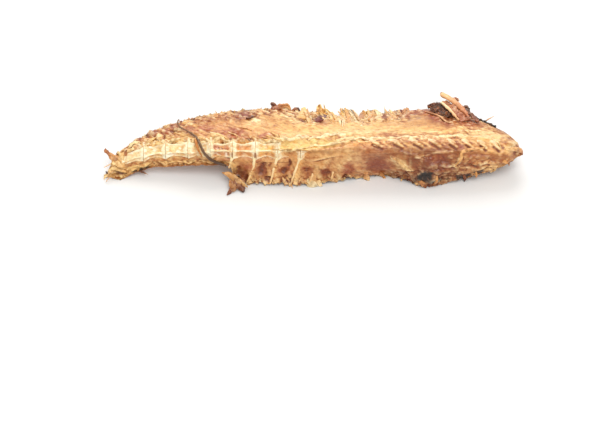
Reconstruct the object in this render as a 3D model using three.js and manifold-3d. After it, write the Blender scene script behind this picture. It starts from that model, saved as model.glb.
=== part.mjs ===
// A dried backbone of a cod-like fish, trimmed for a pet chew: a row of vertebrae with their cut
// neural spines and ribs, and the two walls of dried flesh that hang from it like a roof.
// Millimetres, +Z up. The tail end is at -X and the head end at +X; the roof's ridge runs along X.
// The part lies on z = 0, on the lower edges of its two walls.
import * as THREE from "three";
import { mergeVertices } from "three/addons/utils/BufferGeometryUtils.js";
import Module from "manifold-3d";

const wasm = await Module();
wasm.setup();

// ---------------------------------------------------------------- driving dimensions
const VERTEBRAE = 19;
const PITCH = 10.17; // from one joint of the backbone to the next
const EVEN = 11; // vertebrae of that length; each one after these is shorter than the last
const SHORTENING = 0.056; // share of the pitch lost with each vertebra
const FIRST_JOINT = -87.1; // x of the tail-side face of the first vertebra
const TAIL_START_X = -90.4; // where the tail's flesh begins, after its torn tip
const RIB_START_X = -36.2; // where the near wall with the ribs begins
const SPLIT_X = 33.4; // where each wall is parted into a rib length and a head length
const GAP = 0.35; // clearance between touching pieces
const FLOOR_BITE = 0.5; // how far the walls' teeth reach under z = 0 before they are cut flat

// Smooth lines along x, each through a few [x, value] stations.
const AXIS_Y = [[-89, -5.4], [-74, -3.3], [-55, -4.8], [-36, -6.2], [14, -6.6], [95, -5.3]];
const AXIS_Z = [[-89, 5.6], [-74, 9.5], [-56, 12.5], [-36, 13.8], [14, 14.2], [62, 13.8], [95, 11]];
const RIM_R = [[-89, 3.6], [-74, 4.1], [-50, 4.5], [-30, 4.9], [30, 5.1], [90, 4.6]]; // rims' radius
const NEAR_FOOT_Y = [
  [-36, -13.6], [-21, -15.8], [-1, -15.8], [17, -12], [33, -9], [50, -16.2], [64, -13.4], [86, -9],
];
const NEAR_FOOT_Z = [[-36, 0], [58, 0], [74, 2.5], [86, 6]];
const NEAR_BULGE = [[-36, 0.3], [20, 0.8], [45, 2.2], [86, 1.6]];
const NEAR_CONTACT = [[-36, 211], [-4, 206], [13, 160], [86, 148]]; // degrees round the backbone
const FAR_FOOT_Y = [
  [-90, -3], [-76, 7.5], [-52, 15.7], [-29, 21.6], [-5, 28.4], [12, 30.6], [46, 32.6], [66, 28.7],
  [86, 14],
];
const FAR_FOOT_Z = [
  [-90, 6], [-76, 10.5], [-56, 13.6], [-29, 13], [-5, 6], [12, 0.4], [36, 0.4], [54, 4], [86, 8],
];
const FAR_BULGE = [[-90, 0.8], [-60, 1.6], [-20, 2.4], [40, 2.2], [60, 2.6], [86, 1.2]];
const FAR_CONTACT = [[-90, 72], [-20, 70], [2, 76], [22, 98], [86, 102]];
const FAR_COVER = [[-90, 0.7], [-20, 1], [22, 2], [86, 2]]; // how far over the rims the far wall reaches
const NEAR_COVER = [[-36, 0.7], [2, 0.8], [22, 1.6], [86, 1.8]];
const WALL_THICK = [[-90, 2.6], [20, 2.8], [86, 3.2]];
const TAIL_KEEL = [[-90, 8.4], [-36, 7.8]]; // from the axis to the tail's lower edge

const RIB_STATION = PITCH / 4; // steps along the ribbed wall
const PLAIN_STATION = PITCH / 2; // steps along the flesh without ribs
const WALL_ROWS = 4; // steps from a wall's foot to the backbone
const COLUMN_SIDES = 10;

const BONE = new THREE.MeshStandardMaterial({ color: 0xf0d9a4, roughness: 0.55, metalness: 0 });
const FLESH = new THREE.MeshStandardMaterial({ color: 0xb98350, roughness: 0.6, metalness: 0 });
const SINEW = new THREE.MeshStandardMaterial({ color: 0x54463a, roughness: 0.5, metalness: 0 });
const SKIN = new THREE.MeshStandardMaterial({ color: 0x2c2320, roughness: 0.5, metalness: 0 });

// ---------------------------------------------------------------- helpers

// Value at x of a smooth line through [x, value] stations: cubic between them, flat past both ends.
function along(stations, x) {
  const last = stations.length - 1;
  if (x <= stations[0][0]) return stations[0][1];
  if (x >= stations[last][0]) return stations[last][1];
  const k = stations.findIndex((s) => s[0] > x) - 1;
  const slope = (i) => {
    const a = stations[Math.max(i - 1, 0)];
    const b = stations[Math.min(i + 1, last)];
    return (b[1] - a[1]) / (b[0] - a[0]);
  };
  const [x0, v0] = stations[k];
  const [x1, v1] = stations[k + 1];
  const h = x1 - x0;
  const t = (x - x0) / h;
  const t2 = t * t;
  const t3 = t2 * t;
  return (
    (2 * t3 - 3 * t2 + 1) * v0 +
    (t3 - 2 * t2 + t) * h * slope(k) +
    (3 * t2 - 2 * t3) * v1 +
    (t3 - t2) * h * slope(k + 1)
  );
}

const V = (x, y, z) => new THREE.Vector3(x, y, z);
const joint = (k) => {
  const short = Math.max(0, k - EVEN);
  return FIRST_JOINT + PITCH * (k - (SHORTENING * short * (short + 1)) / 2);
};
const axisAt = (x) => V(x, along(AXIS_Y, x), along(AXIS_Z, x));
const clamp = (v, lo, hi) => Math.min(Math.max(v, lo), hi);

// The point at a distance from the backbone's axis, at an angle from +Y towards +Z.
function around(x, degrees, r) {
  const a = THREE.MathUtils.degToRad(degrees);
  return axisAt(x).add(V(0, Math.cos(a) * r, Math.sin(a) * r));
}

// A closed manifold from a three.js geometry.
function solidOf(geometry) {
  const bare = geometry.clone();
  bare.deleteAttribute("normal");
  bare.deleteAttribute("uv");
  const merged = mergeVertices(bare, 1e-4);
  return new wasm.Manifold(
    new wasm.Mesh({
      numProp: 3,
      vertProperties: merged.attributes.position.array,
      triVerts: new Uint32Array(merged.index.array),
    }),
  );
}

// The largest body of a solid, as a named mesh.
function meshOf(name, solid, material) {
  const bodies = solid.decompose();
  const body = bodies.reduce((a, b) => (a.volume() > b.volume() ? a : b));
  const mesh = body.getMesh();
  const vertices = new Float32Array(mesh.numVert * 3);
  for (let i = 0; i < mesh.numVert; i++)
    vertices.set(mesh.vertProperties.subarray(i * mesh.numProp, i * mesh.numProp + 3), i * 3);
  const geometry = new THREE.BufferGeometry()
    .setAttribute("position", new THREE.BufferAttribute(vertices, 3))
    .setIndex(new THREE.BufferAttribute(mesh.triVerts, 1));
  const made = new THREE.Mesh(geometry, material);
  made.name = name;
  return made;
}

// A closed solid from corner points and triangles wound either way.
function closed(points, index) {
  const geometry = new THREE.BufferGeometry().setFromPoints(points);
  geometry.setIndex(index);
  const made = solidOf(geometry);
  if (made.volume() > 0) return made;
  geometry.setIndex(index.reverse());
  return solidOf(geometry);
}

// A closed solid between two grids of points with the same rows and columns: outer and inner.
function slab(outer, inner) {
  const rows = outer.length;
  const columns = outer[0].length;
  const index = [];
  const o = (i, j) => i * columns + j;
  const n = (i, j) => rows * columns + o(i, j);
  const quad = (a, b, c, d) => index.push(a, b, c, a, c, d);
  for (let i = 0; i < rows - 1; i++)
    for (let j = 0; j < columns - 1; j++) {
      quad(o(i, j), o(i, j + 1), o(i + 1, j + 1), o(i + 1, j));
      quad(n(i, j), n(i + 1, j), n(i + 1, j + 1), n(i, j + 1));
    }
  for (let i = 0; i < rows - 1; i++) {
    quad(o(i, 0), o(i + 1, 0), n(i + 1, 0), n(i, 0));
    quad(o(i, columns - 1), n(i, columns - 1), n(i + 1, columns - 1), o(i + 1, columns - 1));
  }
  for (let j = 0; j < columns - 1; j++) {
    quad(o(0, j), n(0, j), n(0, j + 1), o(0, j + 1));
    quad(o(rows - 1, j), o(rows - 1, j + 1), n(rows - 1, j + 1), n(rows - 1, j));
  }
  return closed([...outer.flat(), ...inner.flat()], index);
}

// A closed solid through rings of points, with a flat fan over each end.
function loft(rings) {
  const sides = rings[0].length;
  const centre = (ring) =>
    ring.reduce((sum, p) => sum.add(p), V(0, 0, 0)).divideScalar(ring.length);
  const points = [...rings.flat(), centre(rings[0]), centre(rings[rings.length - 1])];
  const index = [];
  const at = (i, j) => i * sides + (j % sides);
  for (let i = 0; i < rings.length - 1; i++)
    for (let j = 0; j < sides; j++) {
      index.push(at(i, j), at(i, j + 1), at(i + 1, j + 1));
      index.push(at(i, j), at(i + 1, j + 1), at(i + 1, j));
    }
  for (let j = 0; j < sides; j++) {
    index.push(points.length - 2, at(0, j + 1), at(0, j));
    index.push(points.length - 1, at(rings.length - 1, j), at(rings.length - 1, j + 1));
  }
  return closed(points, index);
}

// A tapering rod or blade through points: each ring is an ellipse of half-sizes wide and thick,
// the thick side facing along `face`.
function rod(points, wide, thick, face, sides = 6) {
  const path = points.map((p) => p.clone());
  const rings = path.map((p, i) => {
    const ahead = path[Math.min(i + 1, path.length - 1)];
    const behind = path[Math.max(i - 1, 0)];
    const course = ahead.clone().sub(behind).normalize();
    const across = V().crossVectors(course, face).normalize();
    const out = V().crossVectors(across, course);
    return Array.from({ length: sides }, (_, j) => {
      const a = (2 * Math.PI * j) / sides;
      return p
        .clone()
        .addScaledVector(across, Math.cos(a) * wide[i])
        .addScaledVector(out, Math.sin(a) * thick[i]);
    });
  });
  return loft(rings);
}

const block = (lo, hi) =>
  solidOf(
    new THREE.BoxGeometry(...hi.clone().sub(lo).toArray()).translate(
      ...lo.clone().add(hi).multiplyScalar(0.5).toArray(),
    ),
  );
const ABOVE_FLOOR = block(V(-150, -80, 0), V(150, 80, 80));

// The room that the backbone needs: a tube round the axis, wider than the rims by the clearance.
function column(extra) {
  const rings = [];
  for (let k = -1; k <= VERTEBRAE; k++) {
    const x = joint(k) + (k === VERTEBRAE ? GAP : 0);
    rings.push(
      Array.from({ length: COLUMN_SIDES }, (_, j) =>
        around(x, (360 * j) / COLUMN_SIDES, along(RIM_R, x) + extra),
      ),
    );
  }
  return loft(rings);
}

// The backbone and its outgrowths with their clearance: what every piece of flesh is cut by.
function backboneRoom() {
  const grown = Array.from({ length: VERTEBRAE }, (_, k) => outgrowths(k, GAP));
  return grown.reduce((a, b) => a.add(b), column(0.3 + GAP));
}

// ---------------------------------------------------------------- the two walls

const RIB_SWEEP = 3.4; // how far a rib's foot lies behind its root
const SCALLOP = 0.7; // depth of the hollow between two ribs
const TOOTH = 1.9; // height of a notch in a wall's lower edge, between two ribs

// 1 over a rib and 0 midway between two ribs, at x and a share t of the way from foot to backbone.
const ribness = (x, t) =>
  0.5 + 0.5 * Math.cos((2 * Math.PI * (x + RIB_SWEEP * (1 - t) - FIRST_JOINT)) / PITCH);

// A slow irregular wave, for torn edges.
const torn = (x, seed) =>
  0.5 * Math.sin(x * 0.61 + seed) + 0.3 * Math.sin(x * 1.37 + 2 * seed) + 0.2 * Math.sin(x * 2.3 + 5 * seed);

// A wall's outer line at x: a point at share t of the way from its foot up to the backbone.
// side is -1 for the near wall and +1 for the far one.
function wallPoint(side, x, t) {
  const near = side < 0;
  const lift = near ? TOOTH * (1 - ribness(x, 0)) : TOOTH * (0.4 + 0.5 * torn(x, 1.7));
  const foot = V(
    x,
    along(near ? NEAR_FOOT_Y : FAR_FOOT_Y, x),
    along(near ? NEAR_FOOT_Z : FAR_FOOT_Z, x) - FLOOR_BITE + lift,
  );
  const cover = along(near ? NEAR_COVER : FAR_COVER, x);
  const top = around(x, along(near ? NEAR_CONTACT : FAR_CONTACT, x), along(RIM_R, x) + cover);
  const out = V(0, -(top.z - foot.z), top.y - foot.y).normalize().multiplyScalar(near ? 1 : -1);
  const bulge = along(near ? NEAR_BULGE : FAR_BULGE, x);
  const middle = foot.clone().lerp(top, 0.5).addScaledVector(out, 2 * bulge);
  const hollow = near && x < SPLIT_X ? SCALLOP * (1 - ribness(x, t)) * Math.sin(Math.PI * t) : 0;
  return foot
    .multiplyScalar((1 - t) * (1 - t))
    .addScaledVector(middle, 2 * t * (1 - t))
    .addScaledVector(top, t * t)
    .addScaledVector(out, -hollow);
}

// The outward direction of a wall at x and t, square to its outer line.
function wallOut(side, x, t) {
  const a = wallPoint(side, x, clamp(t - 0.05, 0, 1));
  const b = wallPoint(side, x, clamp(t + 0.05, 0, 1));
  return V(0, -(b.z - a.z), b.y - a.y).normalize().multiplyScalar(-side);
}

// One length of a wall, from x0 to x1, thin at its foot and thicker at the backbone.
function wall(side, x0, x1) {
  const steps = Math.round((x1 - x0) / (side < 0 && x0 < SPLIT_X ? RIB_STATION : PLAIN_STATION));
  const outer = [];
  const inner = [];
  for (let i = 0; i <= steps; i++) {
    const x = x0 + ((x1 - x0) * i) / steps;
    const row = Array.from({ length: WALL_ROWS + 1 }, (_, j) => j / WALL_ROWS);
    outer.push(row.map((t) => wallPoint(side, x, t)));
    inner.push(
      row.map((t) =>
        wallPoint(side, x, t).addScaledVector(wallOut(side, x, t), -along(WALL_THICK, x) * (0.55 + 0.75 * t)),
      ),
    );
  }
  return slab(outer, inner).subtract(ROOM).intersect(ABOVE_FLOOR);
}

// The tail's flesh: it wraps the back and the underside of the vertebrae and thins to the far edge.
function tailFlesh(x0, x1) {
  const steps = Math.round((x1 - x0) / PLAIN_STATION);
  const outer = [];
  const inner = [];
  for (let i = 0; i <= steps; i++) {
    const x = x0 + ((x1 - x0) * i) / steps;
    const row = Array.from({ length: WALL_ROWS + 1 }, (_, j) => j / WALL_ROWS);
    const keel = around(x, 223, along(TAIL_KEEL, x));
    const edge = wallPoint(1, x, 0);
    const belly = around(x, 275, along(TAIL_KEEL, x) * 1.1);
    const under = new THREE.QuadraticBezierCurve3(keel, belly, edge.clone().add(V(0, -0.8, -1.4)));
    const back = row.slice(1).map((t) => wallPoint(1, x, 1.2 - 1.2 * t));
    outer.push([keel.clone().add(V(0, 0.2, 0.9)), ...back]);
    inner.push(row.map((t) => under.getPoint(t)));
  }
  return slab(outer, inner).subtract(ROOM).intersect(ABOVE_FLOOR);
}

// The cut end at the shoulder: a blunt wedge that closes the roof past the last vertebra.
// Each section is an oval: x, its middle's y and z, its half-width and half-height, and its lean.
function shoulderEnd() {
  const start = joint(VERTEBRAE) + GAP;
  const sections = [
    [start, 1.6, 10.8, 11.6, 5.4],
    [start + 4, -0.6, 10.9, 9.2, 4.9],
    [start + 7.4, -2.2, 10.6, 6, 3.8],
    [start + 9.2, -4, 10, 2.2, 1.8],
  ];
  const lean = THREE.MathUtils.degToRad(-6);
  const rings = sections.map(([x, y, z, wide, high]) =>
    Array.from({ length: 14 }, (_, j) => {
      const a = (2 * Math.PI * j) / 14;
      const across = Math.cos(a) * wide;
      const up = Math.sin(a) * high * (Math.sin(a) > 0 ? 1.35 : 0.75);
      return V(x, y + across, z + up + across * lean);
    }),
  );
  return loft(rings);
}

// ---------------------------------------------------------------- one vertebra

const CUP = 0.3; // depth of the hollow cone in each end of a centrum, as a share of its length
const WAIST = 0.78; // waist radius as a share of the rim's
const CANAL_FIRST = 7; // vertebrae whose cut arches leave the neural canal open
const SPINE_FIRST = 10; // vertebrae from here on keep the stump of a neural spine
const RIB_FIRST = 5; // joints with a rib on the near wall
const RIB_LAST = 10;

// The centrum: an hourglass with a hollow cone in each end.
function centrum(k) {
  const length = joint(k + 1) - joint(k) - GAP;
  const half = length / 2;
  const cup = CUP * length;
  const rim = along(RIM_R, joint(k) + half);
  const profile = [
    [0, -half + cup],
    [rim - 0.7, -half],
    [rim, -half],
    [rim * WAIST, -1],
    [rim * WAIST, 1],
    [rim, half],
    [rim - 0.7, half],
    [0, half - cup],
  ].map(([r, h]) => new THREE.Vector2(r, h));
  const a = axisAt(joint(k));
  const b = axisAt(joint(k + 1));
  const course = b.clone().sub(a).normalize();
  const turn = new THREE.Quaternion().setFromUnitVectors(V(0, 1, 0), course);
  const centre = a.lerp(b, 0.5);
  const geometry = new THREE.LatheGeometry(profile, COLUMN_SIDES)
    .applyQuaternion(turn)
    .translate(centre.x, centre.y, centre.z);
  return solidOf(geometry);
}

// A low ridge of bone along the centrum, at an angle round it: a cut neural arch or a side ridge.
// `extra` fattens it, here and below, to cut its room in the flesh.
function ridge(k, degrees, height, width, extra = 0) {
  const x0 = joint(k) + 0.9 - extra;
  const x1 = joint(k + 1) - 0.9 + extra;
  const face = around(x0, degrees, 1).sub(axisAt(x0));
  const shares = [0, 0.5, 1];
  const points = shares.map((s) => {
    const x = x0 + (x1 - x0) * s;
    return around(x, degrees, along(RIM_R, x) * (0.86 - 0.1 * Math.sin(Math.PI * s)) + height / 2);
  });
  const wide = shares.map(() => width / 2 + extra);
  const thick = shares.map(() => height / 2 + 0.6 + extra);
  return rod(points, wide, thick, face, 4);
}

// The stump of a neural spine: a blade laid over the near side of the ridge, towards the head.
function neuralSpine(k, extra = 0) {
  const length = joint(k + 1) - joint(k);
  const x = joint(k) + 0.3 * length;
  const r = along(RIM_R, x);
  const points = [
    around(x, 104, r * 0.8),
    around(x + 0.15 * length, 116, r + 1.3),
    around(x + 0.42 * length, 132, r + 2.1),
    around(x + 0.58 * length + extra, 143, r + 2.4),
  ];
  const wide = [1.5, 1.5, 1.2, 0.5].map((v) => v + extra);
  const thick = [0.9, 0.8, 0.6, 0.3].map((v) => v + extra);
  return rod(points, wide, thick, around(x, 118, 1).sub(axisAt(x)), 4);
}

// A rib: it leaves the rim at a joint and runs down the outside of the near wall, sweeping tailwards.
function rib(k, extra = 0) {
  const root = joint(k) + 1.6;
  const shares = [0.78, 0.42, 0.06];
  const points = shares.map((t) => {
    const x = root - RIB_SWEEP * (1 - t);
    return wallPoint(-1, x, t).addScaledVector(wallOut(-1, x, t), 0.85 + GAP);
  });
  const r = along(RIM_R, root);
  points.unshift(around(root + 0.6, 184, r * 0.78), around(root, 190, r + 0.9));
  const wide = [1.2, 1.1, 0.95, 0.8, 0.55].map((v) => v + extra);
  const thick = [0.8, 0.75, 0.7, 0.6, 0.45].map((v) => v + extra);
  return rod(points, wide, thick, V(0, -1, 0.5), 4);
}

// Everything that grows from one centrum: the arch, the spine's stump and the rib.
function outgrowths(k, extra = 0) {
  const grown = [];
  if (k < CANAL_FIRST) grown.push(ridge(k, 89, 1.2, 1.3, extra), ridge(k, 144, 1.2, 1.3, extra));
  else if (k < SPINE_FIRST) grown.push(ridge(k, 84, 2, 1, extra), ridge(k, 136, 1.8, 1, extra));
  else grown.push(ridge(k, 108, 2.6, 3.4, extra), neuralSpine(k, extra));
  if (k >= RIB_FIRST && k <= RIB_LAST) grown.push(rib(k, extra));
  return grown.reduce((a, b) => a.add(b));
}

const vertebra = (k) => centrum(k).add(outgrowths(k)).intersect(ABOVE_FLOOR);

// ---------------------------------------------------------------- loose and torn pieces

// The tail's torn end: a pointed tip, and a stiff flap that stands up behind it.
function tailTip(extra = 0) {
  const places = [V(-88.6, -8.8, 4.4), V(-92, -10.9, 3.3), V(-94.9, -12.2, 2.1)];
  const wide = [4, 3, 0.8].map((v) => v + extra);
  const thick = [2.6, 1.8, 0.5].map((v) => v + extra);
  return rod(places, wide, thick, V(0, 0, 1), 8).intersect(ABOVE_FLOOR);
}

function tailFlap(extra = 0) {
  const places = [V(-88.4, -6.6, 7.6), V(-91, -5.6, 8.4), V(-93, -4.2, 9.2), V(-94.6, -3, 9.8)];
  const wide = [1.9, 1.5, 1, 0.6].map((v) => v + extra);
  const thick = [0.7, 0.5, 0.4, 0.3].map((v) => v + extra);
  return rod(places, wide, thick, SLANT);
}

// The direction that the tail's side faces, and the one up along that side.
const SLANT = V(0, -0.68, 0.73);
const UP_SLANT = V(0, 0.73, 0.68);

// A point on the tail's side at x, `up` millimetres up the side from the axis, and `lift` off it:
// on the vertebrae's rims, or on the far wall where that stands further out.
function onTheSide(x, up, lift) {
  const axis = axisAt(x);
  const rim = along(RIM_R, x) + GAP + 1;
  const wallLine = Array.from({ length: 21 }, (_, i) => wallPoint(1, x, i / 20).sub(axis));
  const missed = (p) => Math.abs(p.dot(UP_SLANT) - up);
  const level = wallLine.reduce((a, b) => (missed(a) < missed(b) ? a : b));
  const onWall = up > rim * 0.7 ? level.dot(SLANT) : -rim;
  const onRim = Math.sqrt(Math.max(rim * rim - up * up, 0));
  return axis.addScaledVector(UP_SLANT, up).addScaledVector(SLANT, Math.max(onWall, onRim) + lift);
}

// A dried blood vessel that lies across the tail: from the upper edge, over the vertebrae, to the
// lower edge. [x, height up the side, radius]
function vessel() {
  const course = [
    [-61.3, 12.4, 0.45],
    [-60.6, 10.6, 0.5],
    [-57.6, 8.8, 0.55],
    [-54, 6.6, 0.65],
    [-52, 4.4, 0.75],
    [-50.6, 1.4, 0.8],
    [-48.8, -2, 0.85],
    [-46.4, -4.4, 0.9],
    [-43.4, -5.9, 0.9],
    [-39.2, -7.1, 0.6],
  ];
  const sizes = course.map(([, , radius]) => radius);
  return rod(course.map(([x, up]) => onTheSide(x, up, 1.15)), sizes, sizes, SLANT, 5);
}

// The scrap of belly that hangs from the first rib down to the floor: leaves grown together.
function scrap() {
  const upper = [V(-41.4, -12.6, 5.8), V(-38, -13.4, 5.2), V(-34, -16.2, 3.6), V(-30, -18.2, 2.2)];
  const middle = [V(-36.4, -15.4, 3.4), V(-33.6, -17.6, 2.2), V(-31, -19, 1)];
  const lower = [V(-36.4, -14.6, 4), V(-35.8, -17.6, 1.8), V(-36.6, -19.2, 0.5)];
  const tip = [V(-36, -17.4, 1.4), V(-37.2, -19.8, 0.5), V(-38.4, -21.6, 0.3)];
  const leaves = [
    rod(upper, [0.4, 1.2, 1.3, 0.6], [0.3, 0.6, 0.6, 0.4], SLANT),
    rod(middle, [0.8, 1.5, 1.2], [0.6, 0.8, 0.7], SLANT),
    rod(lower, [1.2, 2, 1.4], [0.6, 0.6, 0.5], SLANT),
    rod(tip, [1.2, 1.1, 0.4], [0.5, 0.5, 0.3], SLANT),
  ];
  return leaves.reduce((a, b) => a.add(b)).subtract(ROOM).intersect(ABOVE_FLOOR);
}

// Two stiff bone rods at the shoulder, with a web of flesh between them.
function shoulderRods(extra = 0) {
  const face = V(0, 0.3, 0.95);
  const outer = [V(72.4, 13.4, 15.6), V(66.2, 24.4, 14.6), V(61.3, 29.8, 13.4)];
  const inner = [V(66.4, 12.2, 15.8), V(62.8, 19.4, 15.4), V(59.9, 24.2, 14.8)];
  const middle = [V(69.4, 13, 15.6), V(65.2, 20.4, 15), V(61.6, 26, 14)];
  const grow = (sizes) => sizes.map((v) => v + extra);
  return rod(outer, grow([0.9, 1.05, 1.1]), grow([0.8, 0.95, 1]), face)
    .add(rod(inner, grow([0.6, 0.65, 0.6]), grow([0.6, 0.65, 0.6]), face))
    .add(rod(middle, grow([2.6, 2, 1.4]), grow([0.5, 0.5, 0.4]), face));
}

// What is left of the black skin: a curled patch by the rods, and a strip down the shoulder's edge.
function skinPatch(extra = 0) {
  const places = [V(52.4, 27, 9.6), V(56, 28.6, 9.4), V(60, 25.6, 11), V(62.6, 21, 13)];
  const wide = [1.6, 3.6, 3.8, 1.8].map((v) => v + extra);
  const thick = [0.6, 0.9, 0.9, 0.6].map((v) => v + extra);
  return rod(places, wide, thick, V(0, 0.4, 0.9), 8);
}

function skinStrip(extra = 0) {
  const shares = [0, 0.25, 0.5, 0.75, 1];
  const places = shares.map((s) => wallPoint(1, 71 + 13 * s, 0.03).add(V(0, 0.8, 0.9)));
  const wide = [0.9, 1.2, 1, 1.2, 0.7].map((v) => v + extra);
  const thick = [0.5, 0.7, 0.6, 0.7, 0.4].map((v) => v + extra);
  return rod(places, wide, thick, V(0, 0.5, 0.87), 6);
}

// ---------------------------------------------------------------- the whole backbone

const ROOM = backboneRoom();
const part = new THREE.Group();
for (let k = 0; k < VERTEBRAE; k++)
  part.add(meshOf("vertebra_" + String(k + 1).padStart(2, "0"), vertebra(k), BONE));

const tail = tailFlesh(TAIL_START_X, RIB_START_X - GAP / 2);
part.add(meshOf("tail_flesh", tail.subtract(tailTip(GAP)).subtract(tailFlap(GAP)), FLESH));
part.add(meshOf("near_wall_ribs", wall(-1, RIB_START_X, SPLIT_X - GAP / 2), FLESH));
part.add(meshOf("near_wall_head", wall(-1, SPLIT_X + GAP / 2, joint(VERTEBRAE)), FLESH));
part.add(meshOf("far_wall_ribs", wall(1, RIB_START_X + GAP / 2, SPLIT_X - GAP / 2), FLESH));
const laidOn = shoulderRods(GAP).add(skinPatch(GAP)).add(skinStrip(GAP));
const farHead = wall(1, SPLIT_X + GAP / 2, joint(VERTEBRAE)).subtract(laidOn);
part.add(meshOf("far_wall_head", farHead, FLESH));
part.add(meshOf("shoulder_end", shoulderEnd(), FLESH));
part.add(meshOf("tail_tip", tailTip(), FLESH));
part.add(meshOf("tail_flap", tailFlap(), FLESH));
part.add(meshOf("vessel", vessel(), SINEW));
part.add(meshOf("belly_scrap", scrap(), FLESH));
part.add(meshOf("shoulder_rods", shoulderRods(), BONE));
part.add(meshOf("skin_patch", skinPatch().subtract(shoulderRods(GAP)), SKIN));
part.add(meshOf("skin_strip", skinStrip(), SKIN));

// The part's origin: the middle of its outline, on the ground.
const bounds = new THREE.Box3().setFromObject(part);
const middle = bounds.getCenter(V(0, 0, 0));
part.children.forEach((mesh) => mesh.geometry.translate(-middle.x, -middle.y, -bounds.min.z));

export default part;
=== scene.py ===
import bpy
import numpy as np
from mathutils import Matrix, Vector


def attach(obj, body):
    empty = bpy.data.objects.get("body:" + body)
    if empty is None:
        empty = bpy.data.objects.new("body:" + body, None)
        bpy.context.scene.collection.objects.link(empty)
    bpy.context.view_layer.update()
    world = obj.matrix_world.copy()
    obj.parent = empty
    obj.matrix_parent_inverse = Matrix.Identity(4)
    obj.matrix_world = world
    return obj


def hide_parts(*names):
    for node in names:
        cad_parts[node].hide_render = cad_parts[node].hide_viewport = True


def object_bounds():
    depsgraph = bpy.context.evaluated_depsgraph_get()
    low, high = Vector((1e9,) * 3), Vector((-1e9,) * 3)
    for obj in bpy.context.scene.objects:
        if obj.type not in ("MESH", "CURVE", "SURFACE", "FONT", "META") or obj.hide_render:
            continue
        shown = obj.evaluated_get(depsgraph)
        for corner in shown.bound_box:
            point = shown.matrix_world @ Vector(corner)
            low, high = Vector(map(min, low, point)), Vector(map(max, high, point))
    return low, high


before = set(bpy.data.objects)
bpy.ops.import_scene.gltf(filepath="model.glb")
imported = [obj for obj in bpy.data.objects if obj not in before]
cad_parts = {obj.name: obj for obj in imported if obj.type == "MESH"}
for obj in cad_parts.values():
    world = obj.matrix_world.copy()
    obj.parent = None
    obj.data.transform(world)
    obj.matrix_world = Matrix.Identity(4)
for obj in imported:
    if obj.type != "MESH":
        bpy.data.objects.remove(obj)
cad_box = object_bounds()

# ------------------------------------------------------------------ the vertebrae
# Each vertebra is one bone: an hourglass with a hollow cone in both ends, ridged lengthwise, with
# pits between its ridges. Dried membrane yellows the pits; the rims stay cream.
VERTEBRAE = 19
PITCH = 10.17
EVEN = 11  # vertebrae of that length; each one after these is shorter than the last
SHORTENING = 0.056
FIRST_JOINT = -87.1
MIDDLE = np.array([-0.034, 5.43, 0.0])  # the middle of the outline, which becomes the origin

AXIS_Y = [(-89, -5.4), (-74, -3.3), (-55, -4.8), (-36, -6.2), (14, -6.6), (95, -5.3)]
AXIS_Z = [(-89, 5.6), (-74, 9.5), (-56, 12.5), (-36, 13.8), (14, 14.2), (62, 13.8), (95, 11)]
RIM = [(-89, 3.6), (-74, 4.1), (-50, 4.5), (-30, 4.9), (30, 5.1), (90, 4.6)]


def along(stations, x):
    """Smooth line through (x, value) stations. Between two stations it is a cubic whose slope at each is
    that of the straight line between the station's neighbours; past the ends it is flat."""
    xs, vs = np.array(stations, float).T
    i = np.arange(len(xs))
    behind, ahead = np.maximum(i - 1, 0), np.minimum(i + 1, len(xs) - 1)
    slope = (vs[ahead] - vs[behind]) / (xs[ahead] - xs[behind])
    x = np.clip(x, xs[0], xs[-1])
    k = np.clip(np.searchsorted(xs, x, side="right") - 1, 0, len(xs) - 2)
    h = xs[k + 1] - xs[k]
    t = (x - xs[k]) / h
    rise = t * t * (3 - 2 * t)
    return (
        (1 - rise) * vs[k] + rise * vs[k + 1] + h * t * (1 - t) * ((1 - t) * slope[k] - t * slope[k + 1])
    )


def step(x, start, end):
    """0 before start, 1 after end, and a smooth S between them: t * t * (3 - 2 t)."""
    t = np.clip((x - start) / (end - start), 0, 1)
    return t * t * (3 - 2 * t)


def joint(k):
    """x of the tail-side face of vertebra k: even steps, then each step shorter by the same amount."""
    short = np.maximum(0, k - EVEN)
    return FIRST_JOINT + PITCH * (k - SHORTENING * short * (short + 1) / 2)


def around(x, degrees, r):
    """The point at distance r from the backbone's axis, at an angle from +Y towards +Z."""
    a = np.radians(degrees)
    x, a, r = np.broadcast_arrays(np.asarray(x, float), a, r)
    return np.stack([x, along(AXIS_Y, x) + np.cos(a) * r, along(AXIS_Z, x) + np.sin(a) * r], -1)


def chance(i, j, k, seed):
    """A random value from -1 to 1 for each cell of a grid, mixed from its three whole numbers and
    the seed."""
    h = (i * 374761393 + j * 668265263 + k * 2147483647 + seed * 1274126177) & 0xFFFFFFFF
    h = ((h ^ (h >> 13)) * 1274126177) & 0xFFFFFFFF
    return ((h ^ (h >> 16)) & 0xFFFF) / 32767.5 - 1


def noise(p, size, seed, octaves=3):
    """Smooth random values from -1 to 1: random numbers at the points of a grid of that size, blended with
    an S between them, plus the same at half the size and half the height for each further octave, all
    over 1.6. size is one number or three, for grain that is drawn out one way."""
    total, height, q = 0.0, 1.0, p / np.asarray(size, float)
    for octave in range(octaves):
        cell = np.floor(q).astype(np.int64)
        f = q - cell
        f = f * f * (3 - 2 * f)
        value = 0.0
        for dx in (0, 1):
            for dy in (0, 1):
                for dz in (0, 1):
                    corner = chance(cell[..., 0] + dx, cell[..., 1] + dy, cell[..., 2] + dz, seed + octave)
                    share = np.where(dx, f[..., 0], 1 - f[..., 0]) * np.where(dy, f[..., 1], 1 - f[..., 1])
                    value = value + corner * share * np.where(dz, f[..., 2], 1 - f[..., 2])
        total = total + value * height
        height /= 2
        q = q * 2 + 17.3
    return total / 1.6


def creases(p, size, seed, octaves=3):
    """Branching lines: 1 where the noise passes through 0, falling to 0 where it is 1 / 3.2."""
    return np.clip(1 - 3.2 * np.abs(noise(p, size, seed, octaves)), 0, 1)


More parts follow.
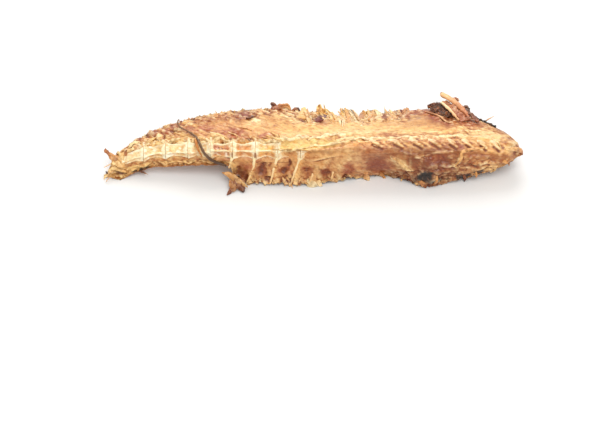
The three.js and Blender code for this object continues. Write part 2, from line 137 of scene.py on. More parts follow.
def flakes(p, size, seed):
    """Patches with sharp borders. Each point takes the random value of the nearest of the seeds scattered one
    to a grid cell; with it, how much further off the second nearest is, which is 0 on a border."""
    q = p / np.asarray(size, float)
    cell = np.floor(q).astype(np.int64)
    first = np.full(q.shape[:-1], 1e9)
    second, value = first.copy(), np.zeros(q.shape[:-1])
    for dx in (-1, 0, 1):
        for dy in (-1, 0, 1):
            for dz in (-1, 0, 1):
                i, j, k = cell[..., 0] + dx, cell[..., 1] + dy, cell[..., 2] + dz
                gap = (i + 0.5 + 0.45 * chance(i, j, k, seed) - q[..., 0]) ** 2
                gap += (j + 0.5 + 0.45 * chance(i, j, k, seed + 1) - q[..., 1]) ** 2
                gap += (k + 0.5 + 0.45 * chance(i, j, k, seed + 2) - q[..., 2]) ** 2
                gap = np.sqrt(gap)
                closer = gap < first
                second = np.where(closer, first, np.minimum(second, gap))
                value = np.where(closer, chance(i, j, k, seed + 3), value)
                first = np.minimum(first, gap)
    return value, second - first


def blend(a, b, share):
    """From colour or point a to b by a share from 0 to 1, given at each point."""
    share = np.clip(np.asarray(share, float), 0, 1)[..., None]
    return np.asarray(a, float) * (1 - share) + np.asarray(b, float) * share


def shade(tint, factor):
    """The colour darkened by a factor under 1, red by its 0.8th power and blue by its 1.25th, as light that
    passed through dried tissue is. Over 1 it goes towards cream by 1.3 times the excess."""
    factor = np.broadcast_to(np.asarray(factor, float), np.shape(tint)[:-1])
    dark = np.clip(factor, 0.05, 1)[..., None] ** np.array([0.8, 1.0, 1.25])
    return blend(np.asarray(tint, float) * dark, (255, 240, 204), 1.3 * (factor - 1))


def piece(name, parts, material, slot_name, *nodes):
    """One object from parts, each (points in mm, quads, triangles, screen colours 0 to 255). The colours go
    to the attribute `tint`, made linear: c / 12.92 under 0.04045, else ((c + 0.055) / 1.055) to the 2.4."""
    points, quads, triangles, tints, count = [], [], [], [], 0
    for co, four, three, tint in parts:
        co = np.asarray(co, float).reshape(-1, 3)
        points.append(co)
        quads.append(np.asarray(four, np.int64).reshape(-1, 4) + count)
        triangles.append(np.asarray(three, np.int64).reshape(-1, 3) + count)
        tints.append(np.broadcast_to(np.asarray(tint, float), (len(co), 3)))
        count += len(co)
    points, quads, triangles = np.concatenate(points), np.concatenate(quads), np.concatenate(triangles)
    points = np.clip((points - MIDDLE) / 1000, np.array(cad_box[0]) + 2e-5, np.array(cad_box[1]) - 2e-5)
    tint = np.clip(np.concatenate(tints) / 255, 0, 1)
    tint = np.where(tint < 0.04045, tint / 12.92, ((tint + 0.055) / 1.055) ** 2.4)
    mesh = bpy.data.meshes.new(name)
    mesh.vertices.add(len(points))
    mesh.vertices.foreach_set("co", points.astype(np.float32).ravel())
    corners = np.concatenate([quads.ravel(), triangles.ravel()]).astype(np.int32)
    starts = np.concatenate([np.arange(len(quads)) * 4, len(quads) * 4 + np.arange(len(triangles)) * 3])
    mesh.loops.add(len(corners))
    mesh.loops.foreach_set("vertex_index", corners)
    mesh.polygons.add(len(starts))
    mesh.polygons.foreach_set("loop_start", starts.astype(np.int32))
    mesh.polygons.foreach_set("use_smooth", np.ones(len(starts), bool))
    mesh.update(calc_edges=True)
    mesh.validate()
    layer = mesh.color_attributes.new("tint", "FLOAT_COLOR", "POINT")
    layer.data.foreach_set("color", np.c_[tint, np.ones(len(tint))].astype(np.float32).ravel())
    mesh.materials.append(material)
    made = bpy.data.objects.new(name, mesh)
    bpy.context.scene.collection.objects.link(made)
    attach(made, "root")
    if nodes:
        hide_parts(*nodes)
    return made


def net(rows, columns, wrap):
    """Quads of a grid of points, row by row. With wrap the last column joins the first."""
    i, j = np.meshgrid(np.arange(rows - 1), np.arange(columns if wrap else columns - 1), indexing="ij")
    ahead = (j + 1) % columns
    four = np.stack([i * columns + j, i * columns + ahead, (i + 1) * columns + ahead,
        (i + 1) * columns + j], -1)
    return four.reshape(-1, 4)


def closed_grid(points, tint):
    """A closed part from a grid whose columns wrap round: a fan of triangles shuts the first and the last
    row. Its faces are turned outwards by the sign of its volume."""
    rows, columns = points.shape[:2]
    co = np.concatenate([points.reshape(-1, 3), points[:1].mean(1), points[-1:].mean(1)])
    tint = np.broadcast_to(np.asarray(tint, float), points.shape).reshape(-1, 3)
    tint = np.concatenate([tint, tint[:1], tint[-1:]])
    j = np.arange(columns)
    first, last = rows * columns, rows * columns + 1
    start = np.stack([np.full(columns, first), (j + 1) % columns, j], -1)
    end = np.stack([np.full(columns, last), (rows - 1) * columns + j,
        (rows - 1) * columns + (j + 1) % columns], -1)
    four, three = net(rows, columns, True), np.concatenate([start, end])
    corners = np.concatenate([four[:, [0, 1, 2]], four[:, [0, 2, 3]], three])
    volume = np.einsum("ij,ij->", co[corners[:, 0]], np.cross(co[corners[:, 1]], co[corners[:, 2]]))
    if volume < 0:
        four, three = four[:, ::-1], three[:, ::-1]
    return co, four, three, tint


def node(tree, kind, **values):
    """A new shader node with values on its inputs; an underscore in a name stands for a space."""
    made = tree.nodes.new("ShaderNode" + kind)
    for name, value in values.items():
        made.inputs[name.replace("_", " ")].default_value = value
    return made


def multiplied(tree):
    """A new shader node that multiplies colour A by colour B."""
    made = tree.nodes.new("ShaderNodeMix")
    made.data_type = "RGBA"
    made.blend_type = "MULTIPLY"
    made.inputs["Factor"].default_value = 1
    return made


def wire(tree, *links):
    """Links of a material, each (node, its output, node, its input)."""
    for start, output, end, into in links:
        tree.links.new(start.outputs[output], end.inputs[into])


def bone_material(name, depth, scale):
    """Dry bone: the tint, mottled by noise at two sizes, over a fine grain bump, with a soft glow inside."""
    material = bpy.data.materials.new(name)
    material.use_nodes = True
    tree = material.node_tree
    shader = tree.nodes["Principled BSDF"]
    where = node(tree, "TexCoord")
    tint = node(tree, "VertexColor")
    tint.layer_name = "tint"
    mottle = node(tree, "TexNoise", Scale=scale, Detail=6, Roughness=0.65)
    levels = node(tree, "MapRange", From_Min=0.3, From_Max=0.7, To_Min=1 - depth, To_Max=1)
    shade = multiplied(tree)
    grain = node(tree, "TexNoise", Scale=scale * 3.2, Detail=4)
    bump = node(tree, "Bump", Strength=0.55, Distance=0.00025)
    gloss = node(tree, "MapRange", To_Min=0.26, To_Max=0.5)
    wire(
        tree,
        (where, "Object", mottle, "Vector"), (where, "Object", grain, "Vector"),
        (mottle, "Fac", levels, "Value"), (tint, "Color", shade, "A"), (levels, "Result", shade, "B"),
        (shade, "Result", shader, "Base Color"), (grain, "Fac", bump, "Height"),
        (bump, "Normal", shader, "Normal"), (mottle, "Fac", gloss, "Value"),
        (gloss, "Result", shader, "Roughness"),
    )
    shader.inputs["Subsurface Weight"].default_value = 0.1
    shader.inputs["Subsurface Radius"].default_value = (0.0006, 0.0004, 0.0002)
    shader.inputs["Subsurface Scale"].default_value = 1.0
    shader.inputs["Specular IOR Level"].default_value = 0.6
    return material


BONE = bone_material("dry_bone", 0.1, 620)
CREAM = (255, 244, 206)
IVORY = (255, 228, 166)
PIT_BROWN = (196, 122, 60)
# What dried in the pits of each vertebra, from the tail on.
PIT_TINTS = [
    (252, 208, 132), (254, 212, 136), (255, 218, 146), (252, 206, 130), (178, 88, 52), (222, 138, 66),
    (255, 192, 96), (248, 190, 104), (232, 166, 86), (226, 158, 84),
]
CUP = 0.3
WAIST = 0.58
SLIT = 0.04  # the gap that is left between two vertebrae
SIDES = 84  # points round a vertebra
# (degrees round the bone, height as a share of the rim, half-width in degrees)
RIDGES = [(89, 0.26, 8), (144, 0.24, 7), (196, 0.16, 8), (238, 0.14, 9), (290, 0.16, 10), (340, 0.14, 9),
    (33, 0.16, 10)]


def centrum(k):
    """The profile of an hourglass turned about the vertebra's axis. From the middle of one cup: out to the
    lip, over the rim, in to the waist as the 2.2th power of the distance from it, out and in again. Ridges
    add a bell curve of the angle, strongest at the waist; they wander a little along their length."""
    start, end = joint(k) + SLIT / 2, joint(k + 1) - SLIT / 2
    half, middle = (end - start) / 2, (start + end) / 2
    s = np.concatenate([
        np.linspace(-1 + 2 * CUP, -1.0, 6), np.linspace(-0.985, 0.985, 36), np.linspace(1.0, 1 - 2 * CUP, 6),
    ])
    cup = np.concatenate([np.linspace(0.04, 0.86, 6), np.zeros(36), np.linspace(0.86, 0.04, 6)])
    outer = cup == 0
    profile = np.where(outer, WAIST + (1 - WAIST) * np.abs(s) ** 2.2, cup)
    profile = np.where(outer, profile - 0.6 * np.clip(np.abs(s) - 0.93, 0, 1), profile)
    degrees = np.arange(SIDES) * (360 / SIDES)
    s2, a2 = np.meshgrid(s, degrees, indexing="ij")
    wander = 7 * noise(np.stack([s2 * 1.4, a2 / 40, 0 * s2 + k], -1), 1.0, 21, 2)
    fin = np.zeros_like(s2)
    for angle, height, width in RIDGES:
        lower_ridge = 14 if k < 4 and angle == 144 else 0
        off = (a2 + wander - angle - lower_ridge + 180) % 360 - 180
        fin += height * np.exp(-((off / width) ** 2))
    waisted = np.where(outer, 1 - np.abs(s) ** 5, 0)[:, None]
    rim = along(RIM, middle) * (1 + 0.05 * noise(np.stack([a2 / 60, 0 * a2, 0 * a2 + k], -1), 1.0, 23, 2))
    if k == 0:
        rim = rim * (1 - 0.3 * step(-s2, 0.2, 1))
    p = around(middle + half * s2, a2, rim * (profile[:, None] + fin * waisted))
    body = np.where(outer, 1, 0)[:, None]
    crack = creases(p, (2.0, 1.2, 1.2), 13 + k, 3)
    grow = (0.36 if k < 5 else 0.26) * noise(p, 1.8, 11 + k) + 0.08 * noise(p, (2.5, 0.5, 0.5), 41,
        2) - 0.12 * crack * waisted
    shift = 0.18 * noise(np.stack([a2 / 25, 0 * a2, 0 * a2 + k], -1), 1.0, 25, 2) * np.abs(s2) ** 3
    p = around(middle + half * s2 + shift * body, a2, rim * (profile[:, None] + fin * waisted) + grow * body)
    pit = waisted * (1 - np.clip(fin / 0.13, 0, 1))
    pit_edge = np.exp(-(((pit - 0.45) / 0.2) ** 2)) * waisted
    tint = blend(CREAM, IVORY, 0.15 + 1.2 * noise(p, (2.4, 1.0, 1.0), 61))
    tint = blend(tint, PIT_TINTS[min(k, len(PIT_TINTS) - 1)], pit * (0.85 + 0.6 * noise(p, 1.6, 71 + k)))
    crumbs = pit * (0.8 if k == 4 else 0.25)
    tint = blend(tint, (116, 58, 34), crumbs * step(noise(p, 0.8, 131, 2), 0.0, 0.35))
    tint = blend(tint, (240, 188, 122), crumbs * step(noise(p, 0.7, 133, 2), 0.3, 0.55))
    # Painted shade: darker brown along the edges of the pits, in the creases by the ridges.
    tint = blend(tint, (200, 128, 66), pit_edge * (0.2 + 0.7 * noise(p, 1.9, 75)) * (0.55 if k < 4 else 1))
    tint = blend(tint, CREAM, step(np.abs(s2) + 0.12 * noise(p, 1.4, 77), 0.56, 0.78) * body)
    # The lower side of each vertebra goes browner: brown staining, and painted shade on the side turned from
    # the light.
    lower = step(a2 + wander, 150, 172) * waisted
    tint = blend(tint, PIT_BROWN, lower * (0.4 + 0.7 * noise(p, 1.8, 91))
        * (1 - 0.6 * np.clip(fin / 0.13, 0, 1)) * (0.8 if k < 4 else 1))
    tint = blend(tint, (206, 134, 72), crack * body * (0.3 + 0.6 * noise(p, 2.6, 93)))
    fleck = step(noise(p, (1.5, 1.1, 1.1), 99 + k, 3), 0.12, 0.42) * body
    tint = blend(tint, (255, 250, 230), fleck * (0.7 if k < 5 else 0.35))
    fleck = step(noise(p, (1.7, 1.0, 1.0), 119 + k, 3), 0.16, 0.46) * body
    tint = blend(tint, (234, 172, 100), fleck * (0.6 if k < 5 else 0.35))
    stain = step(noise(p, 2.4, 95, 3), 0.25, 0.6) * body
    tint = blend(tint, (222, 152, 88), stain * 0.4)
    seam = step(np.abs(s2), 0.965, 1.0) * body
    tint = blend(tint, (240, 186, 124), seam * (0.3 + 0.5 * noise(p, 1.5, 97)))
    open_side = (s2 > 0.9) if k in (4, 5) else (s2 < -0.9) if k == 6 else s2 > 2
    gap_mark = open_side * step(a2, 148, 156) * (1 - step(a2, 186, 194)) * body
    tint = blend(tint, (150, 90, 50), gap_mark * 0.8)
    tint = blend(tint, (255, 248, 216), 0.22 * (k == 0) + 0.12 * (k < 4) + 0 * s2)
    tint = blend(tint, (232, 176, 116), np.where(outer, 0, 0.9)[:, None] * np.ones_like(s2))
    return closed_grid(p, tint)


def limb(points, wide, thick, face, tint, sides=8, rings=16, wobble=0.0, seed=0):
    """A tapering oval rod through points. The path is a smooth line through them; each ring is an oval of
    half-sizes wide and thick, its thick way facing along `face`. wobble roughens it, in mm. tint is one
    colour, or two for the root and the tip."""
    points = np.asarray(points, float)
    at = np.arange(len(points))
    t = np.linspace(0, len(points) - 1, rings)
    path = np.stack([along(np.c_[at, points[:, i]], t) for i in range(3)], -1)
    wide, thick = along(np.c_[at, wide], t), along(np.c_[at, thick], t)
    way = np.gradient(path, axis=0)
    way /= np.linalg.norm(way, axis=1, keepdims=True)
    across = np.cross(way, face)
    across /= np.linalg.norm(across, axis=1, keepdims=True)
    out = np.cross(across, way)
    a = 2 * np.pi * np.arange(sides) / sides
    p = (
        path[:, None]
        + across[:, None] * (np.cos(a)[None, :, None] * wide[:, None, None])
        + out[:, None] * (np.sin(a)[None, :, None] * thick[:, None, None])
    )
    if wobble:
        away = p - path[:, None]
        away /= np.linalg.norm(away, axis=2, keepdims=True) + 1e-9
        p = p + away * (wobble * noise(p, 1.1, seed, 2))[..., None]
    tint = np.asarray(tint, float)
    if tint.ndim == 2:
        tint = blend(tint[0], tint[1], np.linspace(0, 1, rings)[:, None] * np.ones(sides))
    tint = shade(np.broadcast_to(tint, p.shape), 1 + 0.12 * noise(p, 1.3, seed + 5, 2))
    return closed_grid(p, tint)


# ------------------------------------------------------------------ the walls' lines
# Two walls of dried flesh hang from the backbone. A wall's outer line, seen from the end, is a bow from
# its foot up to where it meets the backbone.
RIB_START = -36.2
NEAR_FOOT_Y = [(-36, -13.6), (-21, -15.8), (-1, -15.8), (17, -12), (33, -9), (50, -16.2), (64, -13.4),
    (86, -9), (95.1, -5.6)]
NEAR_FOOT_Z = [(-36, 0.25), (58, 0.25), (74, 2.5), (86, 6), (95.1, 9.2)]
NEAR_BULGE = [(-36, 0.3), (20, 0.8), (45, 2.2), (86, 1.6), (95.1, 0.2)]
NEAR_CONTACT = [(-36, 211), (-4, 206), (13, 160), (86, 148), (95.1, 150)]
FAR_FOOT_Y = [
    (-95.1, -11.6), (-93, -8.6), (-90, -3.4), (-76, 7.5), (-52, 15.7), (-29, 21.6), (-5, 28.2), (12, 30.4),
    (46, 32.2), (66, 28.5), (86, 14), (91, 8), (95.1, -3.2),
]
FAR_FOOT_Z = [
    (-95.1, 2.3), (-93, 3.6), (-90, 6), (-76, 10.5), (-56, 13.6), (-29, 13), (-5, 6), (12, 0.6), (36, 0.6),
    (54, 4), (86, 8), (95.1, 9.7),
]
FAR_BULGE = [(-95.1, 0.1), (-90, 0.8), (-60, 1.6), (-20, 2.4), (40, 2.2), (60, 2.6), (86, 1.2), (95.1, 0.2)]
FAR_CONTACT = [(-90, 72), (-20, 70), (2, 76), (22, 98), (86, 102)]
FAR_COVER = [(-90, 0.7), (-20, 1), (22, 1.7), (86, 1.7), (95.1, 0.4)]
NEAR_COVER = [(-36, 0.7), (2, 0.8), (22, 1.5), (86, 1.6), (95.1, 0.4)]
WALL_THICK = [(-90, 2.4), (20, 2.6), (86, 2.8), (95.1, 0.6)]
RIB_SWEEP = 3.4
SCALLOP = 0.75


def core(x, degrees, r):
    """`around`, but past both ends of the vertebrae the axis runs out to the torn tips."""
    tail, head = step(-x, 89, 95.1), step(x, 86, 95.1)
    shrink = (1 - 0.88 * tail) * (1 - 0.86 * head)
    p = around(x, degrees, r * shrink)
    p[..., 1] += -6.4 * tail + 0.6 * head
    p[..., 2] += -3.3 * tail - 1.2 * head
    return p


def ribness(x, t):
    """1 over a rib and 0 midway between two, at a share t of the way up the near wall."""
    return 0.5 + 0.5 * np.cos(2 * np.pi * (x + RIB_SWEEP * (1 - t) - FIRST_JOINT) / PITCH)


def wall_line(side, x, t, torn=0.0):
    """The near (-1) or far (+1) wall's outer line: a bow from its foot (t 0) to the backbone (t 1), pushed
    out by 4 t (1 - t) of the bulge. torn is the share of the line that is torn off at the foot."""
    near = side < 0
    t = torn + (1 - torn) * t
    foot = np.stack([
        x, along(NEAR_FOOT_Y if near else FAR_FOOT_Y, x), along(NEAR_FOOT_Z if near else FAR_FOOT_Z, x),
    ], -1)
    cover = along(NEAR_COVER if near else FAR_COVER, x)
    top = core(x, along(NEAR_CONTACT if near else FAR_CONTACT, x), along(RIM, x) + cover)
    up = top - foot
    out = np.stack([np.zeros_like(x), up[..., 2], -up[..., 1]], -1) * side
    out /= np.linalg.norm(out, axis=-1, keepdims=True) + 1e-9
    bulge = along(NEAR_BULGE if near else FAR_BULGE, x)
    bow = (2 * t * (1 - t) * 2 * bulge)[..., None]
    line = foot * (1 - t)[..., None] + top * t[..., None] + out * bow
    return line, out


# ------------------------------------------------------------------ the dried flesh
# Muscle, membrane and belly lining, dried on in one sheet: it fills the space between the bones at the
# tail, and hangs from the backbone as two walls further on. It is cut ragged along both feet.
# Marks on it are placed on a marking-out grid, in the perspective of the camera, which stands at
# EYE and looks down at 47 degrees: u runs along the backbone and v down, in steps of 0.457 mm at 700 mm.
STEP = 0.457
SLANT_DISTANCE = 700.0
EYE = np.array([-7.9975, -501.9647, 498.0396])
FORWARD = np.array([0.0, 0.681998, -0.731354])
UPWARD = np.array([0.0, 0.731354, 0.681998])
GRID_MIDDLE = (295.5, 221.5)


def on_grid(p):
    """u and v of points seen from EYE. With q the way there from EYE: u is the middle's plus q along +X, v
    the middle's less q along UPWARD, both times SLANT_DISTANCE / STEP / (q along FORWARD)."""
    q = p - EYE
    depth = q @ FORWARD
    scale = SLANT_DISTANCE / STEP / depth
    return GRID_MIDDLE[0] + q[..., 0] * scale, GRID_MIDDLE[1] - (q @ UPWARD) * scale


def near_line(u, v, line, width):
    """1 on a broken line of grid points and falling off to its sides as a bell curve of that width."""
    nearest = np.full(np.shape(u), 1e9)
    for (a, b), (c, d) in zip(line[:-1], line[1:]):
        share = np.clip(((u - a) * (c - a) + (v - b) * (d - b)) / ((c - a) ** 2 + (d - b) ** 2), 0, 1)
        nearest = np.minimum(nearest, (u - a - share * (c - a)) ** 2 + (v - b - share * (d - b)) ** 2)
    return np.exp(-nearest / width**2)


def blots(u, v, marks, rough, soft=0.45):
    """1 inside any of the ovals (u, v, half-width, half-height, turn in degrees), 0 outside, with an edge
    `soft` wide that `rough`, a noise, makes ragged."""
    most = np.zeros(np.shape(u))
    for a, b, wide, high, turn in marks:
        c, s = np.cos(np.radians(turn)), np.sin(np.radians(turn))
        across, down = (u - a) * c + (v - b) * s, (v - b) * c - (u - a) * s
        far = np.sqrt((across / wide) ** 2 + (down / high) ** 2) + 0.45 * rough
        most = np.maximum(most, 1 - step(far, 1 - soft, 1 + soft))
    return most


COLUMNS = 412
NEAR_ROWS, ARC_ROWS, FAR_ROWS, INNER_ROWS = 62, 44, 100, 34
BARE = [(-95, 0.5), (-90, 0.6), (-86, 0.52), (-20, 0.52), (-8, 0.8)]  # the flesh under bare bones, in rims
TAIL_KEEL = [(-95.1, 2.5), (-90, 8.2), (-80, 7.2), (-36, 6.9)]
edge = np.linspace(-95.1, 95.1, COLUMNS)
X = edge[None, :]
flat = np.zeros_like(X)


def cover_share(x, degrees):
    """How far the flesh covers the bones, 0 to 1: the upper side is covered from nearer the tail on."""
    start = -22 + 17 * step(degrees, 132, 152)
    return step(x, start, start + 15)


def tear(side, seed, teeth):
    """The share of a wall that is torn off along its foot, at each x. In mm, over the wall's length: 0.25, a
    slow wander of about 0.9 either way, 0.9 * teeth * (0.5 - creases) and 0.35 * teeth of fine noise."""
    line, _ = wall_line(side, X[0], np.array([[0.0], [1.0]]) + flat)
    length = np.linalg.norm(line[1] - line[0], axis=-1)
    at = np.stack([X[0], flat[0], flat[0]], -1)
    depth = 0.25 + 0.9 * noise(at, 4.0, seed, 3) + teeth * (0.5 - creases(at, 2.3, seed + 3, 2)) * 0.9
    return (depth + 0.35 * teeth * noise(at, 0.9, seed + 6, 1)) / length


far_tear = tear(1, 301, 1.9)
near_tear = tear(-1, 311, 1.5) + 0.1 * (1 - ribness(X[0], 0)) * (1 - step(X[0], 15, 30)) + 0.12 * step(X[0],
    82, 90)
torn_near = noise(np.stack([X[0], flat[0] + 9, flat[0]], -1), 2.2, 302, 4)

# The near wall, from its foot up to the backbone. Tailwards of the ribs it is only a skirt.
t = np.linspace(0, 1, NEAR_ROWS)[:, None]
xx = X + flat + 0 * t
near_wall, _ = wall_line(-1, xx, t + 0 * X, near_tear[None, :])
keel = core(xx, 223, along(TAIL_KEEL, X) + 0.5 * torn_near + 0 * t)
skirt_top = core(xx, 211, along(RIM, X) + 0.5 + 0 * t)
skirt = blend(keel, skirt_top, t + 0 * X)
start = RIB_START + 1.1 * noise(np.stack([0 * xx, 6 * t + 0 * X, 0 * xx], -1), 1.0, 303, 2)
hung = step(xx, start - 0.35, start + 0.35)
near_side = blend(skirt, near_wall, hung)

# Over the backbone: under the bare bones at the tail, over them further on.
a = np.linspace(0, 1, ARC_ROWS)[:, None]
near_angle, far_angle = along(NEAR_CONTACT, X), along(FAR_CONTACT, X)
degrees = near_angle * (1 - a) + far_angle * a
rim = along(RIM, X)
shut = cover_share(X, degrees)
lip = 1 - step(np.minimum(a, 1 - a), 0, 0.14)
over = (along(NEAR_COVER, X) * (1 - a) + along(FAR_COVER, X) * a) * (lip + (1 - lip) * shut)
base = rim * (along(BARE, X) * (1 - shut) + 1.0 * shut)
r = base * (1 - lip) + rim * lip + over
canal = step(X, -20, -12) * (1 - step(X, 8, 22))
rail = np.exp(-(((degrees - 88) / 7) ** 2)) + np.exp(-(((degrees - 138 + 0.5 * np.maximum(X + 4, 0))
    / 7) ** 2))
trough = np.exp(-(((degrees - 112) / 15) ** 2))
r = r + canal * (0.75 * rail - 0.9 * trough)
crest = step(X, 6, 22) * np.exp(-(((degrees - 114) / 13) ** 2))
r = r + 0.1 * crest
over_back = core(X + 0 * a, degrees, r)

# The far wall, from the backbone down to its foot.
t_far = np.linspace(1, 0, FAR_ROWS)[:, None]
xf = X + 0 * t_far
far_side, _ = wall_line(1, xf, t_far + 0 * X, far_tear[None, :])
outer = np.concatenate([near_side, over_back, far_side])

# The inner side: behind the walls and under the backbone; at the tail, the closed underside.
inner_t = np.linspace(0, 1, INNER_ROWS)[:, None]
far_n, arc_n = 14, 8
near_n = INNER_ROWS - far_n - arc_n
thick = along(WALL_THICK, X)
tf = np.linspace(0, 1, far_n)[:, None]
line, out = wall_line(1, X + 0 * tf, tf + 0 * X, far_tear[None, :])
behind_far = line - out * (thick * (0.3 + 0.35 * step(tf, 0, 0.12) + 0.65 * tf))[..., None]
tn = np.linspace(1, 0, near_n)[:, None]
line, out = wall_line(-1, X + 0 * tn, tn + 0 * X, near_tear[None, :])
behind_near = line - out * (thick * (0.3 + 0.3 * step(tn, 0, 0.12) + 0.6 * tn))[..., None]
au = np.linspace(0, 1, arc_n + 2)[1:-1, None]
under_angle = (along(FAR_CONTACT, X) - 34) * (1 - au) + (along(NEAR_CONTACT, X) - 360 + 34) * au
under = core(X + 0 * au, under_angle, rim * 0.9 + 0 * au)
hollow = np.concatenate([behind_far, under, behind_near])
far_edge, near_edge = outer[-1], outer[0]
belly = core(X, 275, along(TAIL_KEEL, X) * 1.08)
s = inner_t
low = np.array([0, -0.5, -0.9])
under_tail = (
    ((1 - s) ** 2)[..., None] * (far_edge + low)[None]
    + (2 * s * (1 - s))[..., None] * belly
    + (s**2)[..., None] * (near_edge + np.array([0, 0.1, -0.5]))[None]
)
wide_open = step(X + 0 * s, RIB_START - 3, RIB_START + 5)
inner = blend(under_tail, hollow, wide_open)
shell = np.concatenate([outer, inner])
outer_rows = len(outer)


def smooth(a, rows, columns):
    """Average over a window of the net that reaches so many rows and columns to each side."""
    a = sum(np.roll(a, n, 0) for n in range(-rows, rows + 1)) / (2 * rows + 1)
    padded = np.concatenate([a[:, :1]] * columns + [a] + [a[:, -1:]] * columns, 1)
    return sum(padded[:, n : n + a.shape[1]] for n in range(2 * columns + 1)) / (2 * columns + 1)


# Round off the two corners between the walls and the back.
row = np.arange(len(shell))[:, None] + 0 * X
corner = np.exp(-(((row - NEAR_ROWS) / 7) ** 2)) + np.exp(-(((row - NEAR_ROWS - ARC_ROWS) / 7) ** 2))
corner = corner * step(X, -14, 6)
shell = blend(shell, smooth(shell, 5, 0), corner)
shell = blend(shell, smooth(shell, 5, 0), corner)
shell[..., 2] = np.maximum(shell[..., 2], 0.12)

# Which way each point faces, from the two directions of the net.
normal = np.cross(np.gradient(shell, axis=1), np.roll(shell, -1, 0) - np.roll(shell, 1, 0))
normal /= np.linalg.norm(normal, axis=2, keepdims=True) + 1e-12
if normal[NEAR_ROWS + ARC_ROWS + 40, COLUMNS // 2, 2] < 0:
    normal = -normal

U, V = on_grid(shell)
is_near = row < NEAR_ROWS
is_back = (row >= NEAR_ROWS) & (row < NEAR_ROWS + ARC_ROWS)
is_far = (row >= NEAR_ROWS + ARC_ROWS) & (row < outer_rows)
is_outer = row < outer_rows
XX = X + 0 * row
near_t = np.zeros(shell.shape[:2])
near_t[:NEAR_ROWS] = t
far_t = np.zeros(shell.shape[:2])
far_t[NEAR_ROWS + ARC_ROWS : outer_rows] = t_far

# Places for marks, bent a little so that no mark keeps a smooth outline.
WU = U + 2.4 * noise(shell, 2.6, 341, 3)
WV = V + 2.0 * noise(shell, 2.6, 342, 3)
RIDGE_LINE = [
    (100, 160), (230, 153), (268, 152), (300, 151), (318, 147), (345, 143), (372, 140.5), (455, 140.5),
    (480, 142),
    (500, 147), (525, 155),
]
flank = is_outer * step(WV - along(RIDGE_LINE, U), -1.0, 4)
trunk = step(XX, RIB_START, RIB_START + 3)
ribbed = is_near * trunk * (1 - step(XX, 18, 40))

# Relief. The flesh dried in flakes, drawn out lengthwise on the far wall and slanting down on the near one,
# with creases between them and fibres across them.
slanting = shell @ np.array([[1, 0, 0.45], [0, 1, 0], [-0.45, 0, 1]]).T
bent = shell + 1.0 * np.stack([noise(shell, 2.4, 331 + n, 3) for n in range(3)], -1)
bent_slanting = slanting + bent - shell
swept = 0.42 * XX * (1 - step(XX, -12, 16)) * (row >= NEAR_ROWS)
bent[..., 1] += swept
far_value, far_border = flakes(bent, (4.4, 2.6, 2.6), 351)
near_value, near_border = flakes(bent_slanting, (2.4, 3.2, 4.8), 355)
slanted = is_near & (XX < 14)
flake = np.where(slanted, near_value, far_value)
border = 1 - step(np.where(slanted, near_border, far_border), 0.0, 0.16)
crease = np.where(slanted, creases(bent_slanting, (3.0, 4.4, 6.0), 361, 2),
    creases(bent, (4.6, 3.0, 3.0), 364, 2))
lumps = noise(shell, 4.2, 312, 3)
rough = noise(shell, 1.6, 314, 3)
fibre = np.where(slanted, noise(slanting, (0.7, 2.4, 4.5), 313, 4), noise(bent, (3.6, 0.8, 0.8), 311, 4))
# Ovals, here and below: (u, v, half-width, half-height, turn in degrees).
SMOOTH_MARKS = [
    (350, 129, 52, 7.5, -2), (300, 131, 26, 6, 0), (300, 144.5, 32, 5, 0), (350, 160, 22, 12, 0),
    (430, 124, 22, 8, 10),
    (400, 129, 30, 5, 0), (378, 160, 16, 12, 0), (262, 128, 16, 6, 0), (496, 146, 26, 12, 10),
    (330, 158, 26, 9, 0),
    (350, 160, 30, 14, 0), (404, 160, 12, 8, 0), (450, 150, 40, 5, 0),
    (250, 161, 9, 4, 0), (272, 160, 8, 4, 0), (294, 162, 8, 5, 0), (316, 161, 10, 6, 0),
]
calm = 1 - 0.76 * blots(WU, WV, SMOOTH_MARKS, 0.3 * rough, 0.5)
calm = calm * (1 - 0.45 * ribbed * step(near_t, 0.2, 0.45))
calm = calm * (1 - 0.35 * blots(WU, WV, [(248, 125, 44, 9, -4)], 0.3 * rough, 0.6))
ROUGH_MARKS = [(155, 134, 44, 10, -20), (240, 112, 40, 7, -6), (350, 114, 56, 8, 0), (425, 178, 34, 7, 0),
    (270, 181, 44, 4, 0)]
wild = 0.75 + 0.6 * blots(WU, WV, ROUGH_MARKS, 0.3 * rough, 0.5)
dip = -SCALLOP * (1 - ribness(XX, near_t)) * np.sin(np.pi * np.clip(near_t, 0, 1)) * ribbed

HOLLOWS = [
    (240, 173, 4.5, 5, 0), (246, 178, 3, 3, 0), (262, 170, 3.6, 5.5, 10), (268, 180, 4, 2.6, 0),
    (283, 171, 4, 3, 0),
    (290, 163, 1.4, 3.4, 15), (306, 170.5, 3.2, 1.8, 0), (326, 173, 4.6, 3, 0), (345, 179, 3, 2.4, 0),
    (406, 179, 7, 3, 10), (425, 176.5, 6.5, 4.5, 0), (471, 166, 6, 1.6, 0), (463, 176.5, 8, 2, -10),
    (447, 119, 5, 3, 0),
    (319, 118, 6, 4, -20), (121, 174, 6.5, 3.6, -8), (305, 118, 4, 3, 0), (397, 116, 4, 2.4, 0),
]
HOLLOW = blots(WU, WV, HOLLOWS, 1.1 * rough, 0.6) * is_outer
dent = blots(WU, WV, [(379, 163, 13, 9, 0), (437, 160, 14, 6, 15), (325, 158, 12, 8, 0),
    (284, 163, 8, 6, 0), (262, 164, 8, 5, 0)], 0.6 * rough, 1.0) * is_near
